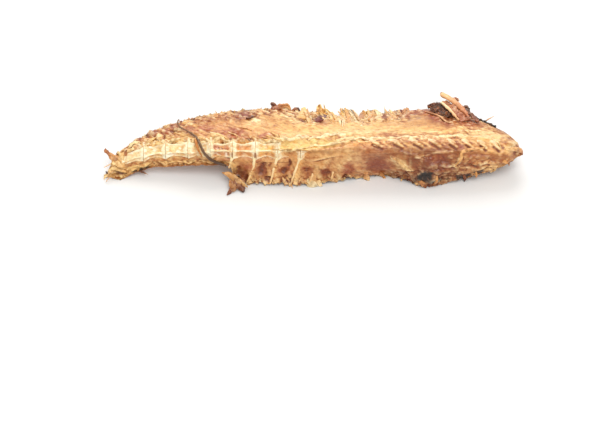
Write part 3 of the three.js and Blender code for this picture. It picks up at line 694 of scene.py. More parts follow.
# Raised lines: (places, width, height in mm).
FOLDS = [
    ([(485, 148), (470, 149.5), (462, 152), (460, 160), (455, 167)], 1.3, 0.8),
    ([(391, 158), (400, 161), (411, 170)], 1.6, 0.6),
    ([(411, 150), (411, 160), (409, 169)], 1.2, 0.5),
    ([(404, 116), (415, 110), (428, 114), (440, 119), (452, 123)], 1.5, 0.7),
    ([(262, 142), (280, 140.5), (290, 139.5), (300, 138), (308, 136)], 1.2, 0.6),
    ([(312, 138.5), (322, 137), (330, 134.5), (345, 134)], 1.1, 0.5),
    ([(276, 158), (271, 168), (267, 179)], 1.2, 0.5),
    ([(430, 150), (446, 154), (455, 160)], 1.3, 0.2),
    ([(418, 184), (428, 182), (436, 178)], 1.6, 0.8),
    ([(505, 140), (513, 146), (519, 152)], 1.8, 0.7),
    ([(488, 150), (500, 153), (510, 152)], 1.6, 0.5),
    ([(440, 172), (452, 171), (470, 172), (482, 168)], 1.3, 0.6),
    ([(416, 158), (428, 156), (441, 152), (452, 152)], 1.2, 0.6),
    ([(441, 166), (455, 168), (468, 169), (486, 163)], 1.2, 0.5),
    ([(355, 168), (368, 172), (378, 175)], 1.5, 0.5),
    ([(345, 146), (372, 149), (395, 147)], 1.6, 0.5),
    ([(336, 165), (352, 171), (362, 170)], 1.4, 0.4),
    ([(345, 137.5), (362, 138.5), (376, 138), (400, 137), (430, 137), (455, 136.5), (480, 136.5),
            (498, 141)], 1.3, 0.55),
    ([(470, 158), (485, 156), (500, 158)], 1.2, 0.4),
    ([(440, 146), (455, 150), (466, 151)], 1.2, 0.4),
    ([(395, 151), (410, 153), (424, 160)], 1.3, 0.5),
    ([(420, 168), (434, 166), (450, 168)], 1.3, 0.5),
    ([(480, 163), (490, 165), (498, 163)], 1.2, 0.4),
    ([(300, 158), (312, 161), (324, 158)], 1.2, 0.35),
]
fold = sum(near_line(WU, WV, line, width) * high for line, width, high in FOLDS) * is_outer

# Curled muscle, clots and torn arches stand up from the flesh:
# (u, v, half-width, half-height, height in mm, colour).
KNOBS = [
    (126, 152, 2.5, 2.5, 0.7, (196, 128, 76)), (120, 157, 2.5, 2.5, 0.6, (255, 220, 160)),
    (137, 139.5, 3.5, 2.6, 0.9, (150, 84, 52)),
    (144, 138, 3, 2.4, 0.6, (226, 160, 96)), (151, 133.5, 4, 3, 1.1, (176, 100, 62)),
    (160, 130, 3.4, 2.4, 0.9, (232, 176, 112)),
    (167, 126.5, 2.8, 2.4, 1.0, (255, 226, 166)), (174, 126.5, 4, 2.4, 0.9, (140, 62, 44)),
    (165, 131.6, 3.6, 2.2, 0.8, (160, 78, 52)),
    (155, 134.6, 3.6, 2.2, 0.8, (134, 72, 50)), (148, 139.4, 4.4, 1.6, 0.6, (255, 226, 166)),
    (160, 136.5, 4, 1.6, 0.5, (250, 206, 140)),
    (170, 136.4, 4.4, 1.6, 0.6, (255, 232, 176)), (180, 130, 5, 2.4, 0.5, (206, 140, 86)),
    (187, 119.5, 4, 2, 0.6, (240, 190, 124)),
    (199, 118.5, 5, 1.6, 0.5, (200, 134, 80)), (210, 115, 4, 1.6, 0.6, (250, 206, 140)),
    (222, 115, 5, 1.6, 0.5, (206, 140, 84)),
    (231, 113, 4, 1.6, 0.6, (240, 190, 120)), (246, 114.5, 6, 2.6, 0.6, (146, 72, 54)),
    (256, 121, 6, 2.4, 0.5, (255, 238, 196)),
    (511, 146, 6, 5, 1.7, (226, 176, 114)), (518.5, 151.5, 3.4, 3.4, 1.4, (206, 142, 88)),
    (264, 112, 4, 2, 0.5, (226, 166, 104)), (275, 109.6, 3, 3, 1.0, (170, 100, 64)),
    (285, 109.4, 6, 1.8, 0.8, (226, 164, 104)),
    (297, 110.6, 3, 1.6, 0.7, (110, 62, 42)), (304.4, 119.6, 1.8, 2.6, 0.3, (120, 58, 46)),
    (310, 118.6, 1.8, 2, 0.3, (150, 70, 50)), (327, 121, 4, 2, 0.4, (214, 160, 104)),
    (314, 123.4, 4, 2, 0.6, (255, 236, 190)),
    (379, 119, 3, 2.4, 0.6, (226, 164, 104)), (388, 116, 3.6, 2.6, 0.8, (166, 100, 60)),
    (398, 114.4, 3.4, 2.2, 0.7, (186, 116, 72)), (408, 111.4, 3.6, 1.8, 0.6, (232, 172, 112)),
    (345, 115, 3.6, 3, 0.6, (250, 214, 150)),
    (270, 135, 4, 2.4, 0.5, (186, 100, 66)), (238, 131, 5, 2, 0.4, (170, 84, 56)),
    (229, 136, 5, 1.6, 0.4, (186, 100, 62)),
    (242, 138, 5, 1.6, 0.4, (200, 116, 72)), (214, 135, 4, 1.6, 0.5, (255, 232, 176)),
    (222, 137.6, 5, 1.2, 0.5, (255, 226, 166)),
    (205, 127, 6, 2, 0.4, (190, 116, 70)), (222, 125, 6, 2, 0.4, (206, 136, 84)),
    (195, 131, 5, 2, 0.4, (200, 126, 76)),
]
HALF_U, HALF_V = 0.5 * (U + WU), 0.5 * (V + WV)
knobs = [
    np.exp(-(((HALF_U - u) / wide) ** 2) - ((HALF_V - v) / high) ** 2) * (1 + 0.5 * rough) * is_outer
    for u, v, wide, high, _, _ in KNOBS
]
# Where the arches rise out of the tail's vertebrae, pale membrane clings to them.
CROWNS = [(144.7, 145), (167, 142), (189.3, 140.5), (211.6, 140), (233.9, 140.5), (256.2, 141), (278.5, 140)]
crown = sum(
    near_line(HALF_U, HALF_V, [(u, v + 3), (u + du, v - 2.4 + 0.4 * abs(du))], 1.1)
    for u, v in CROWNS for du in (-5, -1, 4)
) * is_outer


def spine_course(k):
    """The line of a neural spine's stump: up the arch, then leaning over the near side towards the head."""
    length = joint(k + 1) - joint(k)
    x = joint(k) + 0.95 * length
    r = along(RIM, x)
    return np.stack([
        around(x - 0.1 * length, 88, r * 0.8), around(x + 0.04 * length, 95, r + 0.9),
        around(x + 0.26 * length, 104, r + 1.3), around(x + 0.46 * length, 113, r + 1.3),
        around(x + 0.64 * length, 121, r + 0.8),
    ])


SPINE_FIRST = 10
ridge_marks = [np.stack(on_grid(spine_course(k)), -1) for k in range(SPINE_FIRST, VERTEBRAE - 1)]
spine = np.max([near_line(U, V, marks[2:], 1.2) for marks in ridge_marks], 0) * is_outer
spine_shade = np.max([near_line(U, V, marks[2:] + np.array([-0.5, 2.8]), 1.3) for marks in ridge_marks], 0)
spine_shade = spine_shade * is_outer * (1 - spine)
between = np.max([near_line(WU, WV, marks[2:] + np.array([9, 0.5]), 1.0) for marks in ridge_marks],
    0) * is_outer
bristle_at = noise(shell, (0.9, 2.0, 2.0), 315, 3)
bristly = blots(WU, WV, [(350, 113, 56, 8, 0)], rough, 0.3) * is_far

# At the tail each vertebra's lower arch shows as a scallop under it.
phase = np.abs(((XX - FIRST_JOINT) / PITCH) % 1 * 2 - 1)
arch_line = 0.9 - 0.7 * phase**2.2 + 0.16 * noise(shell, 2.2, 317, 2)
arched = is_near * (1 - trunk)
arch_edge = np.exp(-(((near_t - arch_line) / 0.13) ** 2)) * arched * (0.6 + 0.8 * noise(shell, 2.0, 318, 2))
arch_pit = step(arch_line - near_t, 0.05, 0.3) * arched

raise_by = (
    dip
    + calm * wild * (0.44 * flake - 0.3 * border - 0.42 * crease + 0.18 * fibre + 0.2 * rough)
    * np.where(is_near, 1, 0.6)
    + np.where(is_near, 0, calm * wild) * (0.3 * noise(bent, (2.6, 1.3, 1.3), 316, 3) + 0.16 * fibre)
    + (0.4 + 0.6 * calm * wild) * 0.55 * lumps
    - 0.8 * HOLLOW
    - 0.7 * dent
    + 0.7 * fold
    + 0.6 * spine
    - 0.8 * spine_shade
    + 0.3 * between
    + 0.35 * arch_edge
    - 0.7 * arch_pit
    + 0.8 * bristly * (bristle_at + 0.1)
    + sum(share * row[4] for share, row in zip(knobs, KNOBS))
    + 0.4 * np.clip(crown, 0, 1)
)
at_foot = np.where(is_near, near_t, np.where(is_far, far_t, 1))
fade = np.where(is_outer, 0.45 + 0.55 * step(at_foot, 0, 0.08), 0.3) * (1 - 0.5 * step(XX, 6, 22) * is_back)
shell = shell + normal * (raise_by * fade * step(95.1 - np.abs(XX), 0, 3))[..., None]
shell[..., 2] = np.maximum(shell[..., 2], 0.08)
cavity = (raise_by - smooth(raise_by, 4, 4)) / 0.26

# Colour. Golden where it is thin and dry, browner where blood or lining dried in; painted shade near black in
# the pits.
PALE = (255, 234, 184)
HONEY = (255, 210, 138)
GOLD = (236, 176, 104)
TAN = (208, 142, 80)
BROWN = (160, 92, 46)
UMBER = (100, 50, 26)
RED_BROWN = (150, 56, 28)
PLUM = (112, 58, 50)
# Near black: for the black skin and lining, and for painted shade at the feet, under the tail and in the
# pockets.
BLACK_SKIN_AND_SHADE = (40, 31, 28)
OVER_TINTS = [
    (100, (223, 174, 100)), (140, (214, 158, 89)), (180, (223, 172, 100)), (230, (220, 166, 98)),
    (290, (227, 180, 109)),
    (345, (241, 203, 132)), (400, (223, 174, 108)), (450, (210, 153, 92)), (485, (228, 188, 122)),
    (505, (210, 162, 98)),
    (522, (188, 134, 78)),
]
FLANK_TINTS = [
    (100, (210, 159, 99)), (230, (210, 159, 102)), (262, (218, 167, 110)), (300, (222, 173, 114)),
    (345, (218, 169, 114)),
    (378, (192, 128, 84)), (400, (194, 145, 93)), (425, (146, 90, 50)), (455, (164, 108, 62)),
    (490, (214, 163, 110)),
    (522, (195, 142, 91)),
]


def colour_along(stations, u):
    """The colour at u, each channel a smooth line through the stations."""
    return np.stack([along([(a, c[n]) for a, c in stations], u) for n in range(3)], -1)


broad = noise(shell, 9.0, 321, 3)
mid = noise(shell, 3.2, 322, 4)
fine = noise(shell, 1.1, 323, 3)
streak = noise(bent, (3.4, 0.9, 0.9), 324, 4)
slant_streak = noise(slanting, (0.8, 2.4, 5.5), 325, 4)
grain = np.where(slanted, slant_streak, streak)

tint = blend(colour_along(OVER_TINTS, U), colour_along(FLANK_TINTS, U), flank)
patchy = noise(bent, (3.6, 2.2, 2.2), 319, 3)
tint = shade(tint, 1 + 0.12 * broad + 0.16 * mid)
tint = blend(tint, (186, 116, 60), (0.9 * patchy - 0.05 + 0.12 * flake * calm) * (0.58 + 0.3 * calm))
tint = blend(tint, HONEY, (0.1 + 0.6 * grain + 0.3 * flake * calm) * 0.7)
tint = blend(tint, (255, 232, 180), (-0.9 * patchy - 0.1 + 0.5 * grain) * 0.7)
# (colour, strength, softness of the edge, ovals)
WASHES = [
    (HONEY, 0.85, 0.6, [(350, 129, 55, 6, -2), (300, 131, 30, 5, 0), (430, 130, 40, 4, 0),
            (484, 134, 20, 7, 12)]),
    (GOLD, 0.75, 0.5, [(372, 145, 30, 3.5, 0), (420, 145, 34, 3.5, 0), (470, 148, 26, 4, 5),
            (300, 156, 40, 3, 0)]),
    # Painted highlights along the far wall's top edge.
    (PALE, 0.65, 0.7, [(186, 119, 6, 2.5, 0), (205, 115, 8, 2, 0), (226, 114, 7, 2, 0), (262, 110, 8, 2, 0),
            (290, 117, 12, 3, 0)]),
    # Cream patches and strands, partly painted sheen.
    (PALE, 0.6, 0.7, [(255, 121, 8, 4, 0), (300, 123, 10, 3, 0), (340, 131, 40, 3, -3),
            (222, 136, 10, 3, 8), (276, 138, 8, 4, -20), (484, 132, 16, 4, 10)]),
    # Cream flakes on the near wall, partly painted highlight.
    (PALE, 0.5, 0.5, [(330, 158, 16, 6, 0), (350, 162, 12, 6, 0), (402, 165, 10, 5, 20),
            (407, 169.5, 6, 2.5, 15), (314, 185, 9, 3.5, 0), (366, 179, 5, 3, 0), (345, 155, 12, 8, 0)]),
    (HONEY, 0.6, 0.5, [(262, 183, 16, 3.5, 0), (290, 181, 14, 4, 0), (352, 179, 14, 3, 0),
            (485, 172, 22, 3, -20), (500, 152, 14, 3, 0)]),
    # Brown, partly painted shade: under the tail's vertebrae and in the pockets between the ribs.
    (BROWN, 0.75, 0.6, [
        (160, 164, 12, 2, 0), (182, 164, 7, 2, 0), (205, 164, 8, 2, 0), (224, 162, 7, 3, 0),
        (240, 172, 8, 9, 0),
        (262, 171, 4.5, 7, 10), (288, 165, 3, 6, 15), (308, 171, 6, 4, 0), (326, 173, 7, 5, 0),
        (408, 177, 14, 7, 0),
        (430, 168, 18, 10, 0), (415, 156, 12, 6, 15), (440, 158, 16, 8, 0), (470, 166, 10, 4, 0),
        (450, 148, 16, 3, 0),
        (480, 156, 12, 4, 0), (395, 150, 14, 3, 0), (497, 158, 9, 5, 0), (500, 130, 9, 3, 30),
        (205, 119, 14, 3, 0), (230, 117, 12, 3, 0), (160, 129, 12, 3, -20), (285, 110, 16, 3, 0),
        (396, 115, 12, 4, 0),
        (137, 143, 8, 4, -40), (440, 121, 14, 4, 20), (412, 112, 12, 3, -10), (515, 150, 7, 4, 30),
    ]),
    (RED_BROWN, 0.62, 0.6, [
        (424, 108, 12, 3, 5), (410, 113, 9, 3, -20), (441, 117, 11, 3, 25), (430, 113, 12, 3, 20),
        (460, 122, 12, 2.6, 20),
        (173, 126, 6, 3, 0), (166, 132, 5, 3, 0), (155, 133, 6, 3, 0), (246, 114, 8, 4, 0),
        (237, 134, 11, 5, 8),
        (222, 133, 8, 3, 0), (415, 110, 14, 2.6, 0), (442, 119, 12, 3, 22), (472, 122, 18, 3.6, 14),
        (349, 170, 6, 7, 0),
        (379, 167, 11, 6, 0), (326, 172, 6, 3, 0), (322, 119, 6, 5, 0), (304, 118, 5, 3, 0),
        (205, 127, 8, 3, 0),
        (266, 135, 6, 2, -10), (131, 150, 5, 3, 0), (145, 140, 5, 3, 0), (437, 160, 11, 6, 0),
        (283, 108, 8, 3, 0),
        (250, 168, 5, 4, 0), (283, 170, 7, 3, 0), (307, 170, 5, 2.4, 0), (256, 162, 3, 2, 0),
        (458, 145, 6, 2, 20),
        (190, 129, 6, 3, 0), (392, 135, 10, 2, 0),
    ]),
    (UMBER, 0.55, 0.8, [(405, 179, 13, 4.5, 12), (427, 178, 10, 6, 0), (414, 160, 7, 6, 20),
            (430, 166, 11, 8, 0), (447, 164, 11, 6, 0)]),
    (PALE, 0.7, 0.6, [(262, 183, 13, 3, 0), (290, 182, 12, 3, 0), (346, 180, 12, 2.5, 0),
            (366, 178, 4, 2.5, 0)]),
    (RED_BROWN, 0.55, 0.7, [(421, 110, 12, 4, 5), (408, 114, 8, 3, -25), (466, 121, 12, 3, 24),
            (436, 117, 8, 3, 25)]),
    ((222, 164, 104), 0.6, 0.6, [(250, 161, 9, 4, 0), (272, 160, 8, 4, 0), (294, 161, 7, 5, 0), (316, 161,
            10, 5, 0), (338, 158, 10, 6, 0)]),
    (PLUM, 0.34, 1.0, [(378, 162, 15, 12, 0)]),
    (PLUM, 0.6, 0.7, [(246, 114, 7, 3.4, 0), (323, 119, 5, 4, -20), (305, 118, 4, 3, 0)]),
]
for colour, strength, soft, marks in WASHES:
    share = blots(WU, WV, marks, 0.9 * mid + 0.3 * fine, soft) * is_outer
    tint = blend(tint, colour, share * strength * (0.85 + 0.5 * grain))

# (places, width, strength)
CREAM_LINES = [
    ([(258, 143), (275, 140.5), (290, 139.5), (300, 138), (308, 136)], 1.5, 0.95),
    ([(312, 138.5), (322, 137), (332, 134.5), (345, 134.5)], 1.5, 0.9),
    ([(345, 137.5), (362, 138.5), (376, 138), (400, 137), (430, 137), (455, 136.5), (480, 135.5),
            (500, 140)], 2.0, 0.95),
    ([(268, 151), (285, 150.5), (300, 150), (307, 148), (318, 145.5), (332, 144), (350, 139.5)], 1.4, 0.9),
    ([(350, 133), (380, 131.5), (410, 132), (440, 132)], 2.2, 0.55),
    ([(460, 133), (475, 131), (492, 133), (505, 140)], 4.0, 0.6),
    ([(485, 148), (470, 149.5), (462, 152), (460, 160), (455, 167)], 1.5, 0.8),
    ([(508, 148), (514, 150), (521, 152.5)], 1.8, 0.8),
    ([(416, 157), (428, 155), (441, 151), (452, 151)], 1.3, 0.5),
    ([(441, 165), (455, 167), (468, 168), (486, 162)], 1.3, 0.5),
    ([(391, 158), (400, 161), (411, 170)], 2.0, 0.6),
    ([(277.5, 140), (278, 150), (276, 158)], 1.4, 0.8),
    ([(103, 178), (108, 171), (113, 164), (118, 160)], 1.6, 0.6),
]
# Cream along the ridge and the membrane edges, stronger where the relief stands out, as a painted highlight.
for line, width, strength in CREAM_LINES:
    share = near_line(WU * 0.4 + U * 0.6, WV * 0.4 + V * 0.6, line, width) * is_outer
    tint = blend(tint, PALE, share * strength * (0.8 + 0.5 * grain + 0.4 * cavity))
in_canal = blots(WU * 0.4 + U * 0.6, WV * 0.4 + V * 0.6, [(302, 144.5, 32, 5.2, -3)], 0.3 * rough,
    0.3) * is_back
tint = blend(tint, (255, 236, 164), in_canal * (1.1 + 0.3 * grain))
tint = blend(tint, (252, 184, 92), in_canal * (0.9 * noise(shell, (3, 0.9, 0.9), 326, 3)))
tint = blend(tint, (206, 120, 62), in_canal * creases(shell, (3.0, 1.4, 1.4), 329) * 0.12)

for share, row in zip(knobs, KNOBS):
    tint = blend(tint, row[5], np.clip(1.2 * share, 0, 1) * (0.75 + 0.5 * fine))
ABOVE_BONES = [(136, 148, 8, 3.5, -20), (150, 142.6, 9, 3.2, -8), (168, 140.6, 9, 3, 0),
    (184, 139.8, 8, 2.8, 0), (199, 139.6, 9, 2.6, 0), (226, 141.6, 20, 1.4, 0)]
above = blots(HALF_U, HALF_V, ABOVE_BONES, 1.1 * mid + 0.6 * fine, 0.5) * is_outer
tint = blend(tint, (255, 222, 156), above * 0.9)
tint = blend(tint, (255, 250, 226), above * step(noise(shell, 1.6, 345, 3), 0.05, 0.35) * 0.9)
tint = blend(tint, (212, 142, 80), above * step(noise(shell, 1.8, 346, 3), 0.2, 0.5) * 0.7)
tint = blend(tint, (255, 248, 222), np.clip(crown, 0, 1) * 0.85)
# Painted shade in the hollows, darkest in their middles, red-brown in places.
tint = blend(tint, (130, 74, 40), HOLLOW * (0.65 + 0.3 * fine))
tint = blend(tint, (84, 42, 26), step(HOLLOW, 0.5, 1.0) * (0.5 + 0.6 * mid))
tint = blend(tint, RED_BROWN, HOLLOW * step(noise(shell, 2.2, 330, 2), 0.0, 0.4) * 0.6)
# Near-black marks: black lining and clots, and painted shade along the feet, under the tail and in the
# pockets between the ribs.
BLACK_MARKS = [
    (121, 175, 6, 2.6, 0), (142, 170, 10, 2, -15), (158, 168, 4, 1.2, 0), (198, 166, 5, 1.2, 0),
    (425, 176, 8.5, 5, 0),
    (463, 177, 9, 2.2, -8), (133, 143.5, 1.6, 3, 0), (436, 181, 8, 2, -12), (480, 172, 6, 1.6, -15),
    (239, 174, 2, 3, 0),
    (262, 170, 1.6, 3, 0), (327, 174, 3, 1.6, 0), (407, 181, 8, 2, 10), (273, 105, 3, 3, 0),
    (252, 117, 3, 1.2, 0),
    (298, 109, 2.6, 1.6, 0), (181, 166, 3, 1, 0), (220, 165, 4, 1.2, 0), (392, 117, 2, 1.2, 0),
]
black = blots(WU, WV, BLACK_MARKS, 0.9 * mid + 0.4 * fine, 0.35) * is_outer
tint = blend(tint, BLACK_SKIN_AND_SHADE, black * 0.85)
tint = blend(tint, (120, 92, 76), black * step(noise(shell, 1.2, 344, 2), 0.1, 0.5) * 0.6)
tint = blend(tint, (132, 70, 40), spine_shade * (0.8 + 0.5 * mid))
# Painted highlight along the crests of the spine stubs, and pale strands between them.
tint = blend(tint, (255, 226, 170), spine * 0.6 + between * 0.4)
ribs_here = ribbed * step(ribness(XX, near_t), 0.86, 1.0) * (1 - step(XX, -6, 8))
tint = blend(tint, HONEY, ribs_here * 0.5)
# Painted shade in the pockets between the ribs on the near wall.
pocket_shade = ribbed * step(1 - ribness(XX, near_t), 0.4, 1.0) * step(near_t, 0.95, 0.55) * (1 - step(XX, 0, 12))
tint = blend(tint, (176, 104, 58), pocket_shade * (0.15 + 0.9 * mid))
tint = blend(tint, (250, 210, 146), arched * step(near_t - arch_line, -0.05, 0.15) * 0.6)
tint = blend(tint, HONEY, arch_edge * 0.8)
# Painted shade in the hollow under each tail arch, with lighter flecks.
tint = blend(tint, (206, 138, 78), arch_pit * (0.3 + 0.8 * mid))
tint = blend(tint, (232, 176, 110), arch_pit * step(noise(shell, 1.8, 343, 3), 0.0, 0.4) * 0.6)
tint = blend(tint, PALE, bristly * (0.45 + 1.1 * bristle_at))
tint = blend(tint, BROWN, bristly * (0.2 - 1.2 * bristle_at))
# Painted shade: darker, down to near black, where the relief lies below its surroundings.
deep = np.clip(-cavity, 0, 1.4)
tint = blend(tint, (168, 94, 44), deep * 0.75 * is_outer * (1 - 0.7 * in_canal) * (1 - 0.6 * above))
tint = blend(tint, (104, 52, 26), np.clip(deep - 0.6, 0, 1) * 0.7 * is_outer * (1 - in_canal))
# Painted highlight: cream where the relief stands above its surroundings, less on the flank and on the ribbed
# near wall.
tint = blend(tint, (255, 244, 210), np.clip(cavity - 0.1, 0, 1.2) * 0.62 * is_outer * (1 - 0.45 * flank)
    * (1 - 0.7 * near_line(HALF_U, HALF_V, [(236, 170), (300, 168)], 16)))
# Painted highlight in cream streaks, weaker on the flank; then painted shade in brown streaks.
painted_highlight_streaks = step(noise(bent, (1.9, 0.8, 0.8), 332, 3), 0.22, 0.5) * is_outer * (1 - 0.55 * flank) * (0.4
    + 0.6 * calm)
tint = blend(tint, (255, 236, 184), painted_highlight_streaks * 0.6)
painted_shade_streaks = step(noise(bent, (1.9, 0.8, 0.8), 333, 3), 0.26, 0.55) * is_outer * (0.4 + 0.6 * calm)
tint = blend(tint, (184, 104, 44), painted_shade_streaks * 0.6)
tint = blend(tint, RED_BROWN, step(noise(shell, 1.8, 327, 3), 0.45, 0.7) * is_outer * 0.55 * calm)
tint = blend(tint, UMBER, step(noise(shell, 0.9, 328, 2), 0.62, 0.85) * is_outer * 0.6)
# Painted light: lighter on the tail's lower near side, which is turned from the key light.
tint = blend(tint, (255, 224, 156), arched * (0.34 + 0.3 * step(-U, -165, -135)))
tint = blend(tint, (255, 234, 180), is_outer * 0.4 * step(-U, -135, -118) * step(V, 148, 154) * (1 - HOLLOW))
# Dark red-brown in the opening at the torn tail tip, partly painted shade.
tint = blend(tint, (96, 50, 26), blots(WU, WV, [(121, 173, 5, 2.6, -12)], 0.6 * mid, 0.4) * is_outer * 0.8)
# Near black at the black spot by the near foot, along the foot's edge beyond it and at a spot on the tail's
# top, and as painted shadow along the tail's underside.
blackest = blots(WU, WV, [(425, 176.5, 7.5, 4.5, 0), (464, 177.5, 8, 1.8, -8), (140, 171, 9, 1.6, -15),
    (132, 144, 2, 3, 20)], 0.7 * mid, 0.25) * is_outer
tint = blend(tint, blend((44, 36, 34), (96, 70, 56), step(fine, 0.1, 0.5)), blackest * 0.88)
tint = blend(tint, (190, 132, 84), (~is_outer) * 0.6)
tint = blend(tint, BROWN, (~is_outer) * (0.4 + 0.7 * mid))
tint = shade(tint, 0.98 + 0.14 * fine + 0.1 * grain)


def flesh_material(name, glow):
    """Dried flesh: the tint, mottled by noise drawn out along the fibres and by small flecks, over a fibrous
    and a pitted bump. It shines where it dried smooth, and light passes through it by the share `glow`."""
    material = bpy.data.materials.new(name)
    material.use_nodes = True
    tree = material.node_tree
    shader = tree.nodes["Principled BSDF"]
    where = node(tree, "TexCoord")
    drawn = node(tree, "Mapping", Rotation=(0, 0.3, 0), Scale=(440, 900, 900))
    tint = node(tree, "VertexColor")
    tint.layer_name = "tint"
    fibres = node(tree, "TexNoise", Scale=1, Detail=6, Roughness=0.7)
    levels = node(tree, "MapRange", From_Min=0.3, From_Max=0.72)
    mottled = node(tree, "Mix")
    mottled.data_type = "RGBA"
    mottled.inputs["A"].default_value = (0.82, 0.69, 0.55, 1)
    mottled.inputs["B"].default_value = (1, 1, 1, 1)
    flecks = node(tree, "TexNoise", Scale=900, Detail=3)
    fleck_levels = node(tree, "MapRange", From_Min=0.28, From_Max=0.42, To_Min=0.72, To_Max=1)
    shade = multiplied(tree)
    richer = node(tree, "Gamma", Gamma=1.12)
    fleck_shade = multiplied(tree)
    bump = node(tree, "Bump", Strength=0.5, Distance=0.0003)
    pits = node(tree, "Bump", Strength=0.3, Distance=0.0002)
    gloss = node(tree, "MapRange", From_Min=0.3, From_Max=0.7, To_Min=0.2, To_Max=0.5)
    wire(
        tree,
        (where, "Object", drawn, "Vector"), (drawn, "Vector", fibres, "Vector"),
        (where, "Object", flecks, "Vector"), (fibres, "Fac", levels, "Value"),
        (flecks, "Fac", fleck_levels, "Value"), (tint, "Color", richer, "Color"),
        (richer, "Color", shade, "A"), (levels, "Result", mottled, "Factor"),
        (mottled, "Result", shade, "B"), (shade, "Result", fleck_shade, "A"),
        (fleck_levels, "Result", fleck_shade, "B"), (fleck_shade, "Result", shader, "Base Color"),
        (fibres, "Fac", bump, "Height"), (flecks, "Fac", pits, "Height"), (pits, "Normal", bump, "Normal"),
        (bump, "Normal", shader, "Normal"), (fibres, "Fac", gloss, "Value"),
        (gloss, "Result", shader, "Roughness"),
    )
    shader.inputs["Specular IOR Level"].default_value = 0.5
    shader.inputs["Subsurface Weight"].default_value = glow
    shader.inputs["Subsurface Radius"].default_value = (0.0009, 0.0008, 0.0006)
    shader.inputs["Subsurface Scale"].default_value = 1.0
    return material


FLESH = flesh_material("dried_flesh", 0.12)
FLESH_NODES = [
    "tail_flesh", "near_wall_ribs", "near_wall_head", "far_wall_ribs", "far_wall_head", "shoulder_end",
    "tail_tip",
]
turned = shell.transpose(1, 0, 2)
piece("dried_flesh_skin", [closed_grid(turned, tint.transpose(1, 0, 2))], FLESH, "dried_flesh", *FLESH_NODES)

# ------------------------------------------------------------------ bones: vertebrae, spines and ribs
# The knife left each neural spine as a short stump that leans over the near side, and each rib as a
# stub that is dried to the outside of the near wall.
RIB_FIRST, RIB_LAST = 5, 10
RIB_REACH = [0.66, 0.06, 0.1, 0.1, 0.14, 0.14]  # how far up the wall each rib was cut
RIB_LEAN = [0, 0, 0.2, 0.4, 2.4, 3.2]  # how much further tailwards it lies than the scallops' line
RIB_BARE = [0.3, 0.4, 0.7, 0.74, 0.44, 0.38]  # how far up the wall it is bare


def spine_stump(k):
    """A thin blade along the spine's course, with its edge out."""
    face = around(joint(k), 118, 1.0) - around(joint(k), 118, 0.0)
    wide, thick = [0.9, 1.2, 1.4, 1.1, 0.5], [0.7, 0.6, 0.55, 0.45, 0.2]
    return limb(spine_course(k), wide, thick, face, [(255, 238, 196), (216, 156, 98)], 14, 24, 0.5, 60 + k)


def rib_stub(k):
    """A rod from the rim at a joint down the outside of the near wall, sweeping tailwards, sunk in the flesh
    here and there."""
    n = k - RIB_FIRST
    root = joint(k) - 0.5
    t = np.linspace(0.84, RIB_REACH[n], 6)
    x = root - (RIB_SWEEP + 0.3) * (1 - t) - RIB_LEAN[n] + 0.3 * np.sin(3.0 * t + 2 * k)
    line, out = wall_line(-1, x, t)
    deep = 0.75 if n < 4 else 1.5
    sunk = -deep + (0.2 + deep) * step(t, RIB_BARE[n] + 0.12,
        RIB_BARE[n] - 0.08) + 0.14 * np.sin(np.arange(6) * 1.7 + k)
    points = np.concatenate([
        around(np.array([root + 0.5, root + 0.1]), np.array([186, 196]),
            along(RIM, root) * np.array([0.7, 0.86])),
        line + out * sunk[:, None],
    ])
    wide = np.array([0.9, 0.8, 0.66, 0.56, 0.5, 0.48, 0.44, 0.2])
    thick = np.array([0.7, 0.65, 0.55, 0.5, 0.45, 0.42, 0.36, 0.15])
    return limb(points, wide, thick, (0, -1, 0.5), [(255, 236, 186), (236, 184, 122)], 10, 34, 0.3, 80 + k)


for k in range(VERTEBRAE):
    parts = [centrum(k)]
    if SPINE_FIRST <= k < VERTEBRAE - 1:
        parts.append(spine_stump(k))
    if RIB_FIRST <= k <= RIB_LAST:
        parts.append(rib_stub(k))
    name = "vertebra_%02d" % (k + 1)
    piece("bone_" + name, parts, BONE, "bone", name)

# ------------------------------------------------------------------ the blood vessel
# A strand, taken for a vein. It came out of its groove and dried across the tail, over the vertebrae, and
# is stuck to them.
SLANT = np.array([0, -0.68, 0.73])
UP_SLANT = np.array([0, 0.73, 0.68])
VESSEL_COURSE = [
    (-61.0, 14.6, 0.35), (-61.3, 12.4, 0.4), (-60.6, 10.6, 0.45), (-57.6, 8.8, 0.5), (-54, 6.6, 0.6),
    (-52, 4.4, 0.7), (-50.6, 1.4, 0.75),
    (-48.8, -2, 0.8), (-46.4, -4.4, 0.85), (-43.4, -5.9, 0.85), (-39.2, -7.1, 0.55),
]


def on_the_side(x, up, lift):
    """The point at x, `up` up the slanting side from the axis and `lift` off it: on the rims' round, or on
    the far wall where that stands further out."""
    axis, rim = around(x, 0, 0), along(RIM, x)
    line, _ = wall_line(1, np.full(41, x), np.linspace(0, 1, 41))
    line = line - axis
    level = line[np.argmin(np.abs(line @ UP_SLANT - up))]
    on_wall = level @ SLANT if up > rim * 0.7 else -rim
    on_rim = np.sqrt(max((rim + 0.4) ** 2 - up * up, 0))
    return axis + UP_SLANT * up + SLANT * (max(on_wall, on_rim) + lift)


course = [on_the_side(x, up, 1.0) for x, up, _ in VESSEL_COURSE]
radii = [0.82 * r for _, _, r in VESSEL_COURSE]
vein = limb(course, radii, radii, SLANT, [(156, 122, 88), (92, 66, 46)], 12, 90, 0.26, 120)
strand = [on_the_side(x, up, 0.7) for x, up in [(-53.4, 5), (-52.6, 2.4), (-51.6, -0.6), (-50, -3.4)]]
vein_strand = limb(strand, [0.5, 0.55, 0.5, 0.2], [0.4, 0.4, 0.4, 0.2], SLANT, (206, 138, 66), 8, 24, 0.12,
    121)
piece("dried_vessel", [vein, vein_strand], FLESH, "sinew", "vessel")

